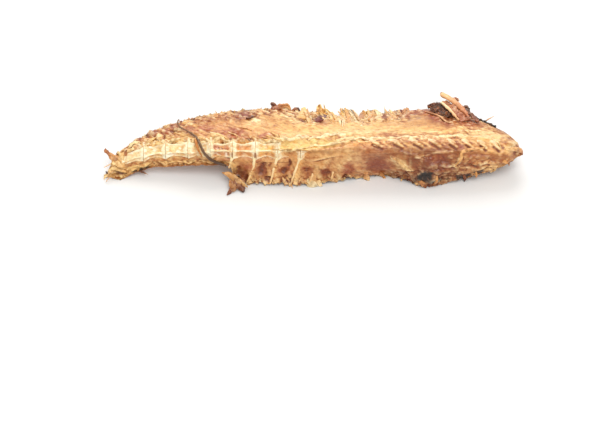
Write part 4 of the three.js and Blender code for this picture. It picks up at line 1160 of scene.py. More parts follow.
# ------------------------------------------------------------------ the tail flap and the belly scrap
# Two stiff rags of dried flesh. One stands up behind the tail's torn tip; the other is torn from the belly
# and hangs from the first rib to the ground.
def crinkle(part, high, seed, way=(0, -0.3, 0.95)):
    """The part with its points pushed along a way by `high` mm times 0.6 of its flake's value, plus 0.5 of a
    noise, less 0.5 on the flakes' borders."""
    co, four, three, tint = part
    value, edge = flakes(co, 1.5, seed)
    up = high * (0.6 * value + 0.5 * noise(co, 1.6, seed + 9, 3) - 0.5 * (1 - step(edge, 0, 0.25)))
    tint = shade(tint, 0.98 + 0.2 * value + 0.25 * noise(co, 1.2, seed + 3, 3))
    return co + up[:, None] * np.array(way), four, three, tint


FLAP = [(-85.8, -7.0, 6.4), (-88.0, -6.6, 7.2), (-91, -5.6, 8.4), (-93.2, -3.8, 9.6), (-94.9, -2.2, 10.4)]
flap = limb(FLAP, [0.5, 2.0, 1.5, 1.05, 0.6], [0.3, 0.6, 0.45, 0.35, 0.25], SLANT,
    [(255, 214, 146), (176, 108, 62)], 18, 40, 0.6, 130)
piece("tail_rag", [crinkle(flap, 0.45, 131, SLANT)], FLESH, "dried_flesh", "tail_flap")
SCRAP_LEAVES = [
    ([(-41.4, -12.6, 5.8), (-38.6, -13.2, 5.3), (-36, -14.6, 4.6), (-32.6, -17, 3.0)], [0.2, 1.1, 1.5, 0.8],
        (232, 178, 114)),
    ([(-37.6, -13.2, 5.7), (-34.4, -15.2, 4.6), (-31.6, -17, 3.2), (-29.6, -18.4, 2.2)],
        [0.3, 0.6, 0.6, 0.3], (250, 206, 140)),
    ([(-36.8, -13.8, 5.0), (-33.8, -16.2, 3.6), (-30.8, -18.0, 2.2)], [0.4, 0.5, 0.3], (226, 166, 100)),
    ([(-36.4, -15.0, 4.0), (-33.8, -17.6, 2.2), (-31, -19, 1.2)], [1.1, 1.7, 0.9], (140, 80, 44)),
    ([(-37.2, -15.4, 3.8), (-36.6, -17.4, 2.4), (-35.2, -18.6, 1.6)], [0.9, 1.5, 1.0], (216, 160, 104)),
    ([(-36.8, -16.6, 2.6), (-36.0, -18.6, 1.4), (-36.8, -19.4, 1.0)], [1.0, 1.3, 0.6], (172, 110, 66)),
    ([(-36.6, -17.8, 1.6), (-37.6, -20, 0.9), (-39.0, -21.8, 0.6)], [1.0, 0.9, 0.2], (150, 84, 48)),
    ([(-33.0, -18.2, 1.8), (-31.8, -19.4, 1.0), (-31.4, -20.0, 0.6)], [0.8, 0.9, 0.4], (104, 56, 34)),
]


leaves = [
    crinkle(limb(points, wide, np.array(wide) * 0.26 + 0.16, SLANT,
            [np.array(colour) * 1.05, np.array(colour) * 0.85],
                 16, 30, 0.3, 140 + n), 0.4, 300 + n, SLANT)
    for n, (points, wide, colour) in enumerate(SCRAP_LEAVES)
]
piece("belly_rag", leaves, FLESH, "dried_flesh", "belly_scrap")

# ------------------------------------------------------------------ the shoulder's bone rods
# Two cut rods, taken for fin rays, lie on the far wall and stick out past its foot, with dried flesh
# between them.
OUTER_ROD = [(71.8, 14.4, 14.9), (69.4, 19, 15.2), (66.0, 24.8, 14.8), (60.5, 31.0, 14.0)]
INNER_ROD = [(66.8, 11, 16.2), (64.4, 16, 15.8), (62.2, 20.4, 15.4), (59.9, 24.2, 15.0)]
WEB = [(70.2, 11.6, 15.3), (67.4, 17, 14.9), (64.4, 22, 14.5), (61.4, 26.6, 13.7)]
KNOB = [(65.2, 27.8, 13.0), (66.8, 28.2, 13.1), (68.2, 27.2, 12.9)]
BEAD = [(70.4, 22.8, 13.3), (71.6, 22.9, 13.4), (72.8, 21.4, 13.2)]
FRINGE = [(76, 11.6, 14.6), (73.4, 16.6, 14.0), (70.6, 21.2, 13.2), (68.4, 24.6, 12.6)]
FACE = (0, 0.3, 0.95)
rods = [
    limb(OUTER_ROD, [0.5, 1.15, 1.35, 1.3], [0.5, 0.95, 1.05, 1.05], FACE,
        [(186, 106, 66), (248, 200, 142)], 16, 60, 0.5, 150),
    limb(INNER_ROD, [0.4, 0.6, 0.7, 0.6], [0.5, 0.65, 0.7, 0.55], FACE, [(236, 180, 124), (255, 232, 184)],
        14, 50, 0.35, 151),
    limb([(61.2, 30.2, 14.4), (60.2, 31.4, 14.0)], [0.8, 0.75], [0.75, 0.7], FACE, (150, 92, 58), 12, 8,
        0.2, 154),
    crinkle(limb(WEB, [2.7, 2.5, 2.2, 1.4], [0.4, 0.45, 0.4, 0.3], FACE, [(166, 90, 56), (198, 128, 82)],
            30, 60, 0.7, 152), 0.9, 156),
    crinkle(limb(KNOB, [0.9, 1.2, 0.8], [0.8, 1.1, 0.7], FACE, [(196, 124, 78), (160, 94, 60)], 14, 30, 0.6,
            153), 0.5, 157),
    crinkle(limb(BEAD, [0.6, 0.9, 0.6], [0.6, 0.8, 0.5], FACE, [(140, 84, 54), (90, 54, 38)], 12, 24, 0.5,
            159), 0.4, 160),
    crinkle(limb(FRINGE, [0.7, 1.2, 1.3, 0.8], [0.5, 0.7, 0.7, 0.5], FACE, [(156, 88, 56), (62, 44, 38)],
            14, 40, 0.7, 155), 0.6, 158),
]
piece("shoulder_ray_bones", rods, BONE, "bone", "shoulder_rods")

# ------------------------------------------------------------------ the black skin
# What is left of the belly's black lining and the skin: a crinkled patch by the rods and a strip at
# the edge.
PATCH = [(56.6, 26.4, 9.6), (57.2, 27.2, 10.0), (59.4, 25.6, 11.0), (62, 19.8, 12.4), (65.4, 15.8, 14.2)]


def lining(part, high, seed, brown):
    """The part crinkled, black on the flakes' borders, brown and tan between by the share `brown`."""
    co, four, three, tint = crinkle(part, high, seed)
    value, edge = flakes(co, 1.6, seed + 1)
    tint = blend(tint, (132, 78, 50), step(noise(co, 3.4, seed + 7, 3), -0.5, 0.15) * brown)
    tint = blend(tint, (196, 130, 86), step(value + noise(co, 2.0, seed + 5, 2), 0.1, 0.8) * brown)
    return co, four, three, blend(tint, (44, 32, 28), (1 - step(edge, 0.02, 0.2)) * 0.55)


patch = limb(PATCH, [1.6, 4.6, 5.6, 4.8, 1.8], [0.4, 0.9, 1.0, 0.9, 0.5], (0, 0.4, 0.9), (116, 76, 54), 56,
    80, 0.8, 160)
strip_x = np.linspace(66.8, 84.8, 9)
strip_line, _ = wall_line(1, strip_x, np.full(9, 0.07))
strip_line = strip_line + np.array([0, 0.25, 0.35]) + step(-strip_x, -76, -67)[:,
    None] * np.array([0.8, 0.7, 0.2])
strip = limb(strip_line, [0.5, 1.1, 1.3, 1.0, 1.3, 0.9, 1.1, 0.8, 0.3], [0.5] * 9, (0, 0.5, 0.87), BLACK_SKIN_AND_SHADE, 24,
    110, 0.6, 161)
piece("black_skin_patch", [lining(patch, 1.7, 170, 0.9)], FLESH, "dark_skin", "skin_patch")
piece("black_skin_strip", [lining(strip, 0.8, 190, 0.5)], FLESH, "dark_skin", "skin_strip")

# ------------------------------------------------------------------ rags and strands on the flesh
# Torn ends of muscle and membrane that dried standing or lying on the flesh: lumps along both feet, knobs of
# clotted blood on the far edge, flat strands by the backbone.
faces_eye = is_outer & ((normal @ FORWARD) < -0.05)
RIGHT = np.cross(FORWARD, UPWARD)


def spot(u, v, lift):
    """The point of the flesh at a grid place, and the way out of it. The nearest point of the net that faces
    the eye is moved over, square to the eye, by what is missing, then `lift` mm out."""
    miss = np.where(faces_eye, (U - u) ** 2 + (V - v) ** 2, 1e9)
    i, j = np.unravel_index(np.argmin(miss), miss.shape)
    over = RIGHT * ((u - U[i, j]) * STEP) - UPWARD * ((v - V[i, j]) * STEP)
    return shell[i, j] + over + normal[i, j] * lift, normal[i, j]


FIBRE = flesh_material("dried_fibre", 0.0)
DARK = (96, 52, 36)
# Each: stations (u, v, lift), half-widths and half-thicknesses in mm, colours at its two ends.
RAGS = [
    # near foot
    ([(309, 179, 0.10), (312, 184, 0.17), (316, 187.5, 0.12)], [1.2, 2.3, 1.4], [0.5, 0.6, 0.3],
        (255, 230, 180), (255, 246, 216)),
    ([(318, 181, 0.10), (321, 186, 0.10)], [1.2, 0.9], [0.5, 0.3], (250, 214, 156), (255, 240, 204)),
    ([(366, 173, 0.06), (367, 178, 0.12), (368, 181.5, 0.10)], [1.0, 1.4, 0.8], [0.5, 0.6, 0.4],
        (226, 160, 100), (255, 226, 170)),
    ([(291, 184, 0.06), (292, 186.5, 0.04), (292.5, 189, 0.02)], [0.25, 0.2, 0.12], [0.2, 0.2, 0.1], GOLD,
        GOLD),
    ([(380, 174, 0.06), (384, 178, 0.10), (383, 179.5, 0.06)], [0.8, 0.9, 0.4], [0.4, 0.4, 0.2], TAN, HONEY),
    ([(395, 173, 0.06), (400, 177.5, 0.10), (403, 179, 0.04)], [0.7, 0.9, 0.4], [0.4, 0.4, 0.2], BROWN, TAN),
    ([(408, 178, 0.06), (413, 182, 0.12), (417, 184.5, 0.06)], [0.9, 1.2, 0.6], [0.5, 0.5, 0.3], BROWN,
        HONEY),
    ([(420, 181, 0.08), (424, 185, 0.15), (425.5, 188.5, 0.08)], [1.2, 1.3, 0.4], [0.5, 0.6, 0.3], TAN,
        BROWN),
    ([(437, 176, 0.06), (436, 180, 0.12), (434, 185, 0.06)], [0.4, 0.7, 0.4], [0.3, 0.4, 0.3],
        (226, 172, 110), TAN),
    ([(464, 176, 0.06), (465, 179.5, 0.10), (464.6, 182, 0.04)], [0.8, 0.7, 0.2], [0.4, 0.4, 0.2], BROWN,
        DARK),
    ([(476, 172, 0.06), (476.5, 175, 0.10), (475.6, 177.5, 0.06)], [0.5, 0.5, 0.3], [0.3, 0.4, 0.2], GOLD,
        TAN),
    ([(488, 169, 0.06), (493, 171.5, 0.10), (497, 168, 0.06)], [0.9, 1.0, 0.5], [0.4, 0.4, 0.3],
        (250, 204, 140), (255, 226, 168)),
    ([(503, 161, 0.06), (507, 162, 0.10), (510, 159, 0.06)], [0.9, 0.9, 0.4], [0.4, 0.4, 0.3], GOLD, TAN),
    # far edge
    ([(276, 112, -0.4), (274.5, 108.6, 0.2), (272.8, 105.6, 0.3), (271.4, 103.8, 0.2)],
        [1.5, 1.7, 1.4, 0.8], [1.2, 1.3, 1.0, 0.6], (176, 106, 66), (112, 60, 42)),
    ([(274, 110.4, -0.3), (279, 108.2, 0.2), (285, 107.8, 0.2), (291, 109.6, -0.3)], [1.8, 1.9, 1.6, 0.8],
        [0.9, 1.0, 0.8, 0.4], (170, 104, 66), (250, 204, 140)),
    ([(293, 111, -0.3), (297, 109.6, 0.2), (300.4, 110.4, -0.2)], [0.8, 1.0, 0.6], [0.7, 0.8, 0.5], BROWN,
        DARK),
    ([(274, 108.6, 0.3), (281, 106.4, 0.4), (287, 106, 0.3), (291, 108.4, -0.1)], [0.9, 1.0, 0.8, 0.4],
        [0.6, 0.6, 0.5, 0.3], (190, 122, 78), (250, 204, 140)),
    ([(246, 118, 0.3), (251, 118.6, 0.5), (257, 115, 0.3)], [0.3, 0.45, 0.3], [0.3, 0.3, 0.2], DARK, BROWN),
    ([(126, 156, 0.3), (126, 152.6, 0.9), (127, 150, 1.0)], [0.8, 0.7, 0.3], [0.4, 0.4, 0.3],
        (216, 150, 92), (150, 88, 52)),
    # flakes and blades along the far edge
    ([(301, 118, -0.2), (304, 112, 0.4), (304.5, 108.4, 0.4)], [2.2, 1.8, 0.6], [0.8, 0.7, 0.3],
        (250, 200, 130), (255, 232, 160)),
    ([(360, 119, -0.2), (363, 114, 0.3), (364, 111.6, 0.2)], [1.6, 1.7, 0.7], [0.6, 0.6, 0.4],
        (206, 146, 92), (236, 190, 130)),
    ([(383, 120, -0.1), (386, 116, 0.4), (388, 113.4, 0.2)], [1.8, 1.8, 1.0], [0.6, 0.6, 0.4],
        (150, 84, 46), (186, 116, 66)),
    ([(398, 115, -0.1), (400, 112, 0.3), (402, 110.2, 0.2)], [1.2, 1.3, 0.8], [0.5, 0.5, 0.4],
        (120, 60, 40), (160, 90, 56)),
    ([(316, 121.6, 0.2), (320.6, 119, 0.6), (324.6, 115.4, 0.5)], [0.9, 2.0, 1.2], [0.5, 0.8, 0.5],
        (134, 54, 44), (124, 66, 60)),
    # membrane that stands over the tail's vertebrae
    ([(145, 146, 0.1), (150, 141, 0.5), (156, 138, 0.3)], [0.5, 0.9, 0.3], [0.4, 0.5, 0.3], PALE, HONEY),
    ([(128, 148, 0.1), (134, 144, 0.4), (141, 143, 0.2)], [0.5, 1.0, 0.4], [0.4, 0.5, 0.3], PALE, PALE),
    ([(168, 145, 0.1), (172, 140.6, 0.5), (181, 138.4, 0.2)], [0.4, 0.8, 0.3], [0.4, 0.5, 0.3], PALE,
        (255, 226, 170)),
    ([(152, 146, 0.1), (160, 143, 0.4), (166, 145, 0.1)], [0.4, 0.9, 0.4], [0.4, 0.5, 0.3], HONEY, PALE),
    ([(174, 145.5, 0.1), (181, 142.5, 0.4), (187, 145, 0.1)], [0.4, 0.8, 0.4], [0.4, 0.5, 0.3], PALE, PALE),
    ([(190, 143, 0.1), (195, 139.5, 0.4), (203, 138, 0.2)], [0.4, 0.7, 0.3], [0.4, 0.5, 0.3], PALE, HONEY),
    ([(196, 144.5, 0.1), (203, 142, 0.4), (209, 144.5, 0.1)], [0.4, 0.7, 0.4], [0.4, 0.5, 0.3], PALE, PALE),
    ([(212, 143, 0.1), (217, 139, 0.4), (225, 137.5, 0.2)], [0.4, 0.7, 0.3], [0.4, 0.5, 0.3], PALE,
        (255, 226, 170)),
    # brown bits and the red rim by the shoulder
    ([(418, 110, 0.3), (428, 113.6, 0.6), (438, 117.6, 0.6), (447, 121.4, 0.4), (453, 123, 0.2)],
        [0.3, 0.6, 0.5, 0.6, 0.3], [0.2, 0.3, 0.3, 0.3, 0.2], (206, 132, 86), (252, 216, 168)),
    ([(485, 121.5, 0.3), (489, 119.6, 0.9), (493, 118, 1.1)], [0.4, 0.6, 0.2], [0.3, 0.3, 0.2],
        (236, 180, 130), (255, 222, 190)),
    # edges and strands by the backbone
    ([(262, 143, 0), (270, 140.8, 0.2), (277, 141.6, 0.3), (284, 139.2, 0.3), (291, 140.2, 0.3),
            (298, 137.2, 0.3), (303, 138.2, 0.3), (309, 135, 0)],
     [0.4, 0.7, 0.6, 0.8, 0.5, 0.8, 0.6, 0.3], [0.3, 0.4, 0.4, 0.4, 0.4, 0.4, 0.4, 0.2], PALE,
     (255, 242, 210)),
    ([(308, 139.6, 0), (315, 137.6, 0.3), (320, 138.4, 0.3), (326, 135, 0.3), (332, 135.6, 0.3),
            (341, 133.2, 0)], [0.3, 0.7, 0.5, 0.8, 0.5, 0.3],
     [0.3, 0.4, 0.4, 0.4, 0.3, 0.2], PALE, (255, 242, 210)),
    ([(268, 151, 0.1), (280, 149.6, 0.3), (288, 150.8, 0.3), (298, 149.4, 0.3), (309, 147, 0)],
        [0.3, 0.6, 0.5, 0.6, 0.25], [0.3, 0.3, 0.3, 0.3, 0.2], PALE, PALE),
    ([(306, 148, 0), (314, 145.4, 0.3), (322, 146, 0.3), (333, 143.4, 0.3), (345, 141.4, 0)],
        [0.3, 0.6, 0.5, 0.7, 0.2], [0.3, 0.35, 0.35, 0.4, 0.2], PALE, PALE),
    ([(346, 138.4, 0), (353, 139.8, 0.3), (360, 138.6, 0.3), (368, 139.8, 0.3), (374, 138.4, 0.3),
            (380, 137.6, 0)], [0.3, 0.7, 0.6, 0.7, 0.6, 0.3], [0.3, 0.4, 0.4, 0.4, 0.4, 0.2], PALE,
            (255, 240, 208)),
    ([(266, 136, 0.3), (275, 138.6, 0.7), (284, 141, 0.4)], [0.3, 0.5, 0.3], [0.3, 0.3, 0.3], HONEY, PALE),
    ([(271, 133, 0.3), (277, 136.6, 0.8), (281, 141.4, 0.4)], [0.3, 0.45, 0.3], [0.3, 0.3, 0.3], HONEY, PALE),
    ([(279, 134, 0.3), (280.5, 138, 0.7), (279, 143, 0.5)], [0.25, 0.45, 0.3], [0.3, 0.3, 0.3], GOLD, PALE),
    ([(262, 139, 0.3), (268, 140.4, 0.5), (274, 142.4, 0.3)], [0.3, 0.45, 0.3], [0.3, 0.3, 0.3], HONEY, PALE),
    ([(210, 133, 0.2), (219, 134.6, 0.5), (229, 139.4, 0.2)], [0.3, 0.5, 0.3], [0.2, 0.3, 0.2], PALE, HONEY),
    ([(211, 136.4, 0.2), (219, 137.6, 0.5), (228, 141.4, 0.2)], [0.3, 0.6, 0.3], [0.2, 0.3, 0.2], HONEY,
        PALE),
    ([(228, 132, 0.2), (236, 135.4, 0.5), (243, 141, 0.2)], [0.3, 0.4, 0.3], [0.2, 0.3, 0.2],
        (255, 222, 164), (240, 180, 120)),
    ([(238, 127, 0.2), (246, 128.6, 0.4), (252, 131, 0.2)], [0.25, 0.4, 0.2], [0.2, 0.3, 0.2],
        (250, 206, 150), (226, 160, 106)),
    ([(485, 148, 0.3), (470, 149.4, 0.6), (462, 152, 0.7), (461, 158, 0.6), (455, 167, 0.2)],
        [0.3, 0.7, 0.8, 0.7, 0.3], [0.3, 0.5, 0.5, 0.5, 0.2], (240, 190, 130), (232, 178, 112)),
    ([(391, 157, 0.2), (399, 161, 0.6), (406, 168, 0.6), (411, 171, 0.2)], [0.3, 0.8, 0.9, 0.3],
        [0.3, 0.4, 0.4, 0.2], (226, 172, 110), (255, 234, 180)),
    ([(492, 140, 0.2), (498, 143.4, 0.6), (500.6, 148, 0.3)], [0.25, 0.4, 0.2], [0.3, 0.3, 0.2], PALE, PALE),
    ([(505, 149, 0.2), (512, 149.6, 0.7), (519, 152, 0.8), (524, 154.6, 0.3)], [0.6, 1.1, 1.2, 0.7],
        [0.5, 0.7, 0.8, 0.5], (255, 222, 164), (196, 124, 76)),
    # the tail's end
    ([(117, 151, 0.1), (121, 156, 0.5), (122.4, 163, 0.4), (121, 168, 0.1)], [0.6, 1.3, 1.5, 0.8],
        [0.4, 0.6, 0.6, 0.4], PALE, (250, 206, 140)),
    ([(108, 171, 0.15), (114, 168.6, 0.35), (121, 170.6, 0.30), (128, 173, 0.10)], [0.4, 0.8, 0.7, 0.3],
        [0.4, 0.5, 0.5, 0.2], (255, 232, 176), (240, 190, 120)),
    ([(112, 163, 0.15), (118, 163, 0.40), (123, 166, 0.30), (126, 169, 0.10)], [0.8, 1.7, 1.7, 0.7],
        [0.4, 0.6, 0.5, 0.3], (255, 222, 160), (236, 180, 112)),
    ([(118, 159, 0.10), (123, 155, 0.40), (129, 151, 0.30), (134, 148, 0.10)], [0.6, 1.0, 1.0, 0.5],
        [0.4, 0.6, 0.5, 0.3], (240, 190, 120), (255, 230, 176)),
    ([(104, 167.4, 0.10), (108, 165, 0.20), (113, 162.6, 0.10)], [0.12, 0.22, 0.2], [0.12, 0.2, 0.15], GOLD,
        HONEY),
    ([(106, 181.4, 0.10), (108.6, 178.6, 0.20), (112, 176.6, 0.10)], [0.12, 0.25, 0.2], [0.12, 0.2, 0.15],
        GOLD, HONEY),
    ([(103.6, 178.6, 0.15), (107, 174.6, 0.30), (111, 171, 0.15)], [0.3, 0.7, 0.6], [0.2, 0.4, 0.3],
        (255, 226, 168), (250, 210, 146)),
    ([(138, 171.6, 0.10), (143, 173, 0.20), (148, 174.6, 0.10)], [0.4, 0.6, 0.2], [0.3, 0.3, 0.2],
        (110, 70, 48), (150, 96, 58)),
]


def rag(stations, wide, thick, root, tip, seed):
    """A flat tapering limb over the given stations, its flat side to the flesh."""
    placed = [spot(u, v, 0.8 * lift) for u, v, lift in stations]
    face = placed[len(placed) // 2][1]
    rings = max(14, 7 * len(stations))
    part = limb([point for point, _ in placed], wide, thick, face, [root, tip], 14, rings,
        min(0.4 * max(wide), 0.45), seed)
    return crinkle(part, min(0.3 * max(wide), 0.36), seed + 400, face)


# Fans of fibre on the far edge: roots from, to; tips from, to; how many; root and tip colours.
FANS = [
    ((305, 116), (312, 126), (301, 108), (308, 111), 7, (250, 206, 150), (255, 232, 180)),
    ((322, 119), (338, 123), (317, 106), (329, 110), 13, (255, 214, 136), (255, 230, 160)),
    ((316, 114), (326, 113), (317, 106), (323, 104), 8, (255, 220, 150), (255, 234, 170)),
    ((342, 117), (352, 125), (338, 110), (346, 108.6), 9, (255, 206, 132), (255, 230, 160)),
    ((351, 120), (364, 126), (343, 110), (352, 109), 15, (255, 244, 212), (255, 246, 214)),
    ((364, 117), (373, 122), (362, 111), (370, 108), 9, (255, 212, 144), (255, 238, 180)),
    ((372, 122), (383, 119), (367, 108.6), (376, 110), 12, (255, 236, 192), (255, 238, 190)),
    ((388, 119), (396, 118), (385, 111.6), (391, 111.4), 6, (250, 200, 130), (255, 236, 184)),
    ((396, 117), (402, 115), (393, 111.4), (399, 110.6), 4, (200, 136, 80), (255, 240, 206)),
    ((402, 114), (411, 112), (401, 108.6), (408, 107), 5, (206, 140, 84), (255, 226, 166)),
    ((337, 118), (344, 118), (339, 125), (345, 126), 5, (255, 226, 170), (255, 244, 210)),
]


def strands(root_from, root_to, tip_from, tip_to, count, root, tip, seed):
    """Rags side by side from a line of roots to a line of tips, each shifted a little by chance and bowed off
    the flesh at its middle."""
    rng = np.random.default_rng(seed)
    made = []
    for n in range(count):
        share = (n + rng.uniform(0.1, 0.9)) / count
        a = np.array(root_from) * (1 - share) + np.array(root_to) * share + rng.normal(0, 0.5, 2)
        b = np.array(tip_from) * (1 - share) + np.array(tip_to) * share + rng.normal(0, 0.8, 2)
        m = (a + b) / 2 + rng.normal(0, 0.5, 2)
        stations = [(*a, -0.3), (*m, rng.uniform(0.2, 0.9)), (*b, rng.uniform(0.0, 0.5))]
        w = rng.uniform(0.4, 0.85)
        gold = rng.choice([0.0, 0.0, 0.2, 0.5])
        ends = [blend(c, (216, 140, 62), gold) for c in (root, tip)]
        made.append(rag(stations, [w, w * 1.1, 0.18], [0.35, 0.35, 0.18], *ends, seed + n))
    return made


rags = [rag(*row, 700 + n) for n, row in enumerate(RAGS)]
rags += [made for n, row in enumerate(FANS) for made in strands(*row, 900 + 20 * n)]
piece("rags", rags, FIBRE, "dried_flesh")

# ------------------------------------------------------------------ the torn fibres
# Muscle fibres and connective tissue that the knife and the drying left standing along both feet and
# between the bones, each a thin tapering shred rooted in the flesh.
SHRED_SIDES, SHRED_RINGS = 6, 7


def shreds(roots, ways, bends, lengths, widths, tints):
    """Many tapering shreds at once. A shred runs from its root along its way and curves towards its bend with
    the square of the distance; its radius falls with the 0.8th power of what is left, plus 0.08."""
    s = np.linspace(0, 1, SHRED_RINGS)
    count = len(roots)
    length = lengths[:, None, None]
    path = roots[:, None] + ways[:, None] * (length * s[None, :, None]) + bends[:,
        None] * (length * 0.5 * (s**2)[None, :, None])
    helper = np.where(np.abs(ways[:, 2:]) < 0.8, [[0.0, 0, 1]], [[1.0, 0, 0]])
    across = np.cross(ways, helper)
    across /= np.linalg.norm(across, axis=1, keepdims=True)
    out = np.cross(ways, across)
    a = 2 * np.pi * np.arange(SHRED_SIDES) / SHRED_SIDES
    r = widths[:, None] * ((1 - s) ** 0.8 + 0.08)[None, :]
    ring = across[:, None, None] * np.cos(a)[None, None, :, None] + out[:, None,
        None] * (0.45 * np.sin(a))[None, None, :, None]
    co = path[:, :, None] + ring * r[:, :, None, None]
    per = SHRED_RINGS * SHRED_SIDES
    start = (np.arange(count) * per)[:, None, None]
    four = (net(SHRED_RINGS, SHRED_SIDES, True)[None] + start).reshape(-1, 4)
    fan = np.array([[0, i + 1, i + 2] for i in range(SHRED_SIDES - 2)])
    root_fan, tip_fan = fan[:, ::-1], fan + (SHRED_RINGS - 1) * SHRED_SIDES
    three = (np.concatenate([root_fan, tip_fan])[None] + start).reshape(-1, 3)
    shade = (0.82 + 0.25 * s)[None, :, None, None]
    colour = np.broadcast_to(tints[:, None, None] * shade, co.shape)
    corners = np.concatenate([four[:, [0, 1, 2]], four[:, [0, 2, 3]], three])
    flat_co = co.reshape(-1, 3)
    volume = np.einsum("ij,ij->", flat_co[corners[:, 0]], np.cross(flat_co[corners[:, 1]],
        flat_co[corners[:, 2]]))
    if volume < 0:
        four, three = four[:, ::-1], three[:, ::-1]
    return flat_co, four, three, colour.reshape(-1, 3)


lengthways = np.gradient(shell, axis=1)
lengthways /= np.linalg.norm(lengthways, axis=2, keepdims=True) + 1e-12
downslope = np.gradient(shell, axis=0)
downslope /= np.linalg.norm(downslope, axis=2, keepdims=True) + 1e-12


def unit(v):
    """v / |v|, row by row."""
    return v / (np.linalg.norm(v, axis=1, keepdims=True) + 1e-12)


def tuft(count, where, down, lift, lean, sway, length, width, tints, seed):
    """`count` shreds rooted at random points of the flesh where `where` is true. Each runs down the slope by
    `down`, off the surface by `lift` and headwards by `lean`, give or take `sway`; lengths and widths are
    (least, most)."""
    rng = np.random.default_rng(seed)
    i, j = np.nonzero(where)
    pick = rng.integers(0, len(i), count)
    i, j = i[pick], j[pick]
    side = rng.normal(lean, sway, count)[:, None]
    way = unit(downslope[i, j] * down + normal[i, j] * (lift * rng.uniform(0.3, 1.3, count))[:, None]
        + lengthways[i, j] * side)
    bend = rng.normal(0, 0.16, (count, 3)) + downslope[i, j] * 0.2
    long = rng.uniform(0, 1, count) ** 1.2 * (length[1] - length[0]) + length[0]
    broad = rng.uniform(width[0], width[1], count)
    tints = np.asarray(tints, float)
    colour = tints[rng.integers(0, len(tints), count)] * rng.uniform(0.86, 1.0, (count, 1))
    return shreds(shell[i, j] - normal[i, j] * 0.3, way, bend, long, broad, colour)


PALES = [PALE, (255, 220, 150), (250, 204, 128), (255, 238, 196)]
GOLDS = [GOLD, HONEY, TAN, (236, 182, 112)]
DARKS = [BROWN, UMBER, TAN, RED_BROWN]
# Clumps of pale fibre: (u, v of the root, lean, how many).
CLUMPS = [
    (309, 121, -0.8, 5), (326, 113, 0.0, 4), (338, 119, -0.9, 6), (331, 119, -0.7, 5), (347, 118, -0.4, 5),
    (358, 121, -0.9, 6), (368, 116, -0.3, 5), (378, 116, -0.7, 6), (387, 116, -0.4, 4), (396, 114, -0.5, 4),
]
torn = [
    tuft(count, is_far & ((U - u) ** 2 + (V - v) ** 2 < 7), 1.0, 0.14, lean, 0.12, (2.4, 5.0), (0.2, 0.5),
        PALES + GOLDS[:2], 220 + n)
    for n, (u, v, lean, count) in enumerate(CLUMPS)
] + [
    tuft(110, is_far & (U > 298) & (U < 402) & (V > 106) & (V < 122), 0.9, 0.25, -0.4, 0.6, (0.8, 2.0),
        (0.3, 0.9), PALES + GOLDS, 201),
    tuft(170, is_far & (far_t < 0.06) & (XX < 12) & (XX > -88), 0.9, 0.4, 0, 0.9, (0.7, 2.2), (0.4, 1.1),
        GOLDS + PALES, 203),
    tuft(60, is_far & (far_t < 0.06) & (XX < 4), 0.9, 0.3, 0, 0.9, (0.6, 1.7), (0.4, 1.0), DARKS, 204),
    tuft(90, is_far & (far_t < 0.05) & (XX > 34) & (XX < 90), 0.8, 0.2, 0, 1.0, (0.4, 1.1), (0.25, 0.6),
        DARKS + GOLDS, 205),
    tuft(90, is_near & (near_t < 0.08) & (XX > -36) & (XX < 40), -0.5, 0.25, 0, 1.1, (0.4, 1.2), (0.4, 0.9),
        GOLDS + PALES, 206),
    tuft(80, is_near & (near_t < 0.1) & (XX > 30) & (XX < 90), -0.4, 0.25, 0, 0.7, (0.5, 1.4), (0.3, 0.7),
        DARKS + GOLDS, 207),
    tuft(60, is_near & (near_t < 0.2) & (XX < -36), -0.3, 0.3, 0, 1.0, (0.5, 1.2), (0.2, 0.5),
        DARKS + GOLDS, 208),
    tuft(90, is_far & (far_t > 0.88) & (XX < -8), -1.0, 0.25, 0, 0.8, (0.8, 2.4), (0.15, 0.4), PALES, 211),
]
piece("torn_fibres", torn, FIBRE, "dried_flesh")

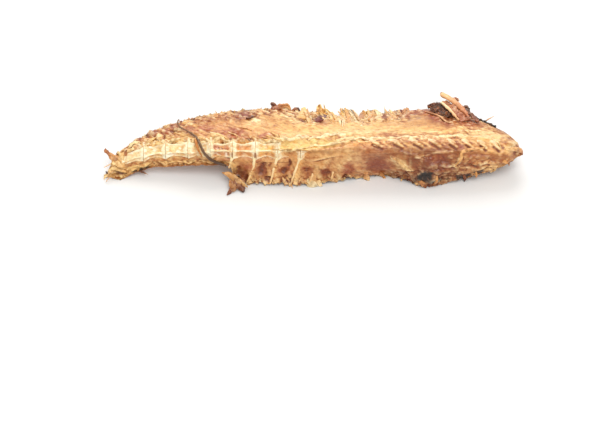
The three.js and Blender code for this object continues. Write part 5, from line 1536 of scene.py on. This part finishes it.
# ------------------------------------------------------------------ floor, light and camera
# The piece lies on white paper, in a plain and slightly warm surround. A large softbox stands behind it and
# another hangs on the camera's side. The camera stands at EYE and looks along FORWARD.
bpy.ops.mesh.primitive_plane_add(size=6, location=(0, 0, 0))
floor = bpy.context.object
floor.name = "floor"
paper = bpy.data.materials.new("white_paper")
paper.use_nodes = True
paper.node_tree.nodes["Principled BSDF"].inputs["Base Color"].default_value = (0.775, 0.775, 0.775, 1)
paper.node_tree.nodes["Principled BSDF"].inputs["Roughness"].default_value = 0.9
floor.data.materials.append(paper)

world = bpy.data.worlds.new("studio")
bpy.context.scene.world = world
world.use_nodes = True
world.node_tree.nodes["Background"].inputs["Color"].default_value = (1, 0.975, 0.925, 1)
world.node_tree.nodes["Background"].inputs["Strength"].default_value = 0.70


def softbox(name, place, target, size, power, colour):
    """A square area light at `place`, turned to face `target`, in metres and watts."""
    light = bpy.data.lights.new(name, "AREA")
    light.size = size
    light.energy = power
    light.color = colour
    made = bpy.data.objects.new(name, light)
    bpy.context.scene.collection.objects.link(made)
    place, target = np.array(place), np.array(target)
    back = (place - target) / np.linalg.norm(place - target)
    right = np.cross((0, 0, 1), back)
    right = right / np.linalg.norm(right)
    up = np.cross(back, right)
    made.matrix_world = Matrix(np.block([[np.c_[right, up, back, place]],
        [np.array([[0, 0, 0, 1]])]]).tolist())
    return made


softbox("key", (-0.1, 0.82, 0.9), (0, 0, 0), 0.9, 8.9, (1, 1, 1))
softbox("overhead", (0.2, -0.55, 1.1), (0, 0, 0), 0.8, 8.6, (1, 1, 1))

SENSOR = 36  # mm
IMAGE_WIDTH = 591  # steps of the grid across the frame
camera = bpy.data.cameras.new("camera")
camera.sensor_width = SENSOR
camera.lens = SENSOR * SLANT_DISTANCE / STEP / IMAGE_WIDTH
camera.clip_start = 0.01
view = bpy.data.objects.new("camera", camera)
bpy.context.scene.collection.objects.link(view)
eye = (EYE - MIDDLE) / 1000
right = np.cross(FORWARD, UPWARD)
view.matrix_world = Matrix(np.block([[np.c_[right, UPWARD, -FORWARD, eye]],
    [np.array([[0, 0, 0, 1]])]]).tolist())
bpy.context.scene.camera = view
bpy.context.scene.view_settings.view_transform = "Standard"
bpy.context.scene.view_settings.look = "None"
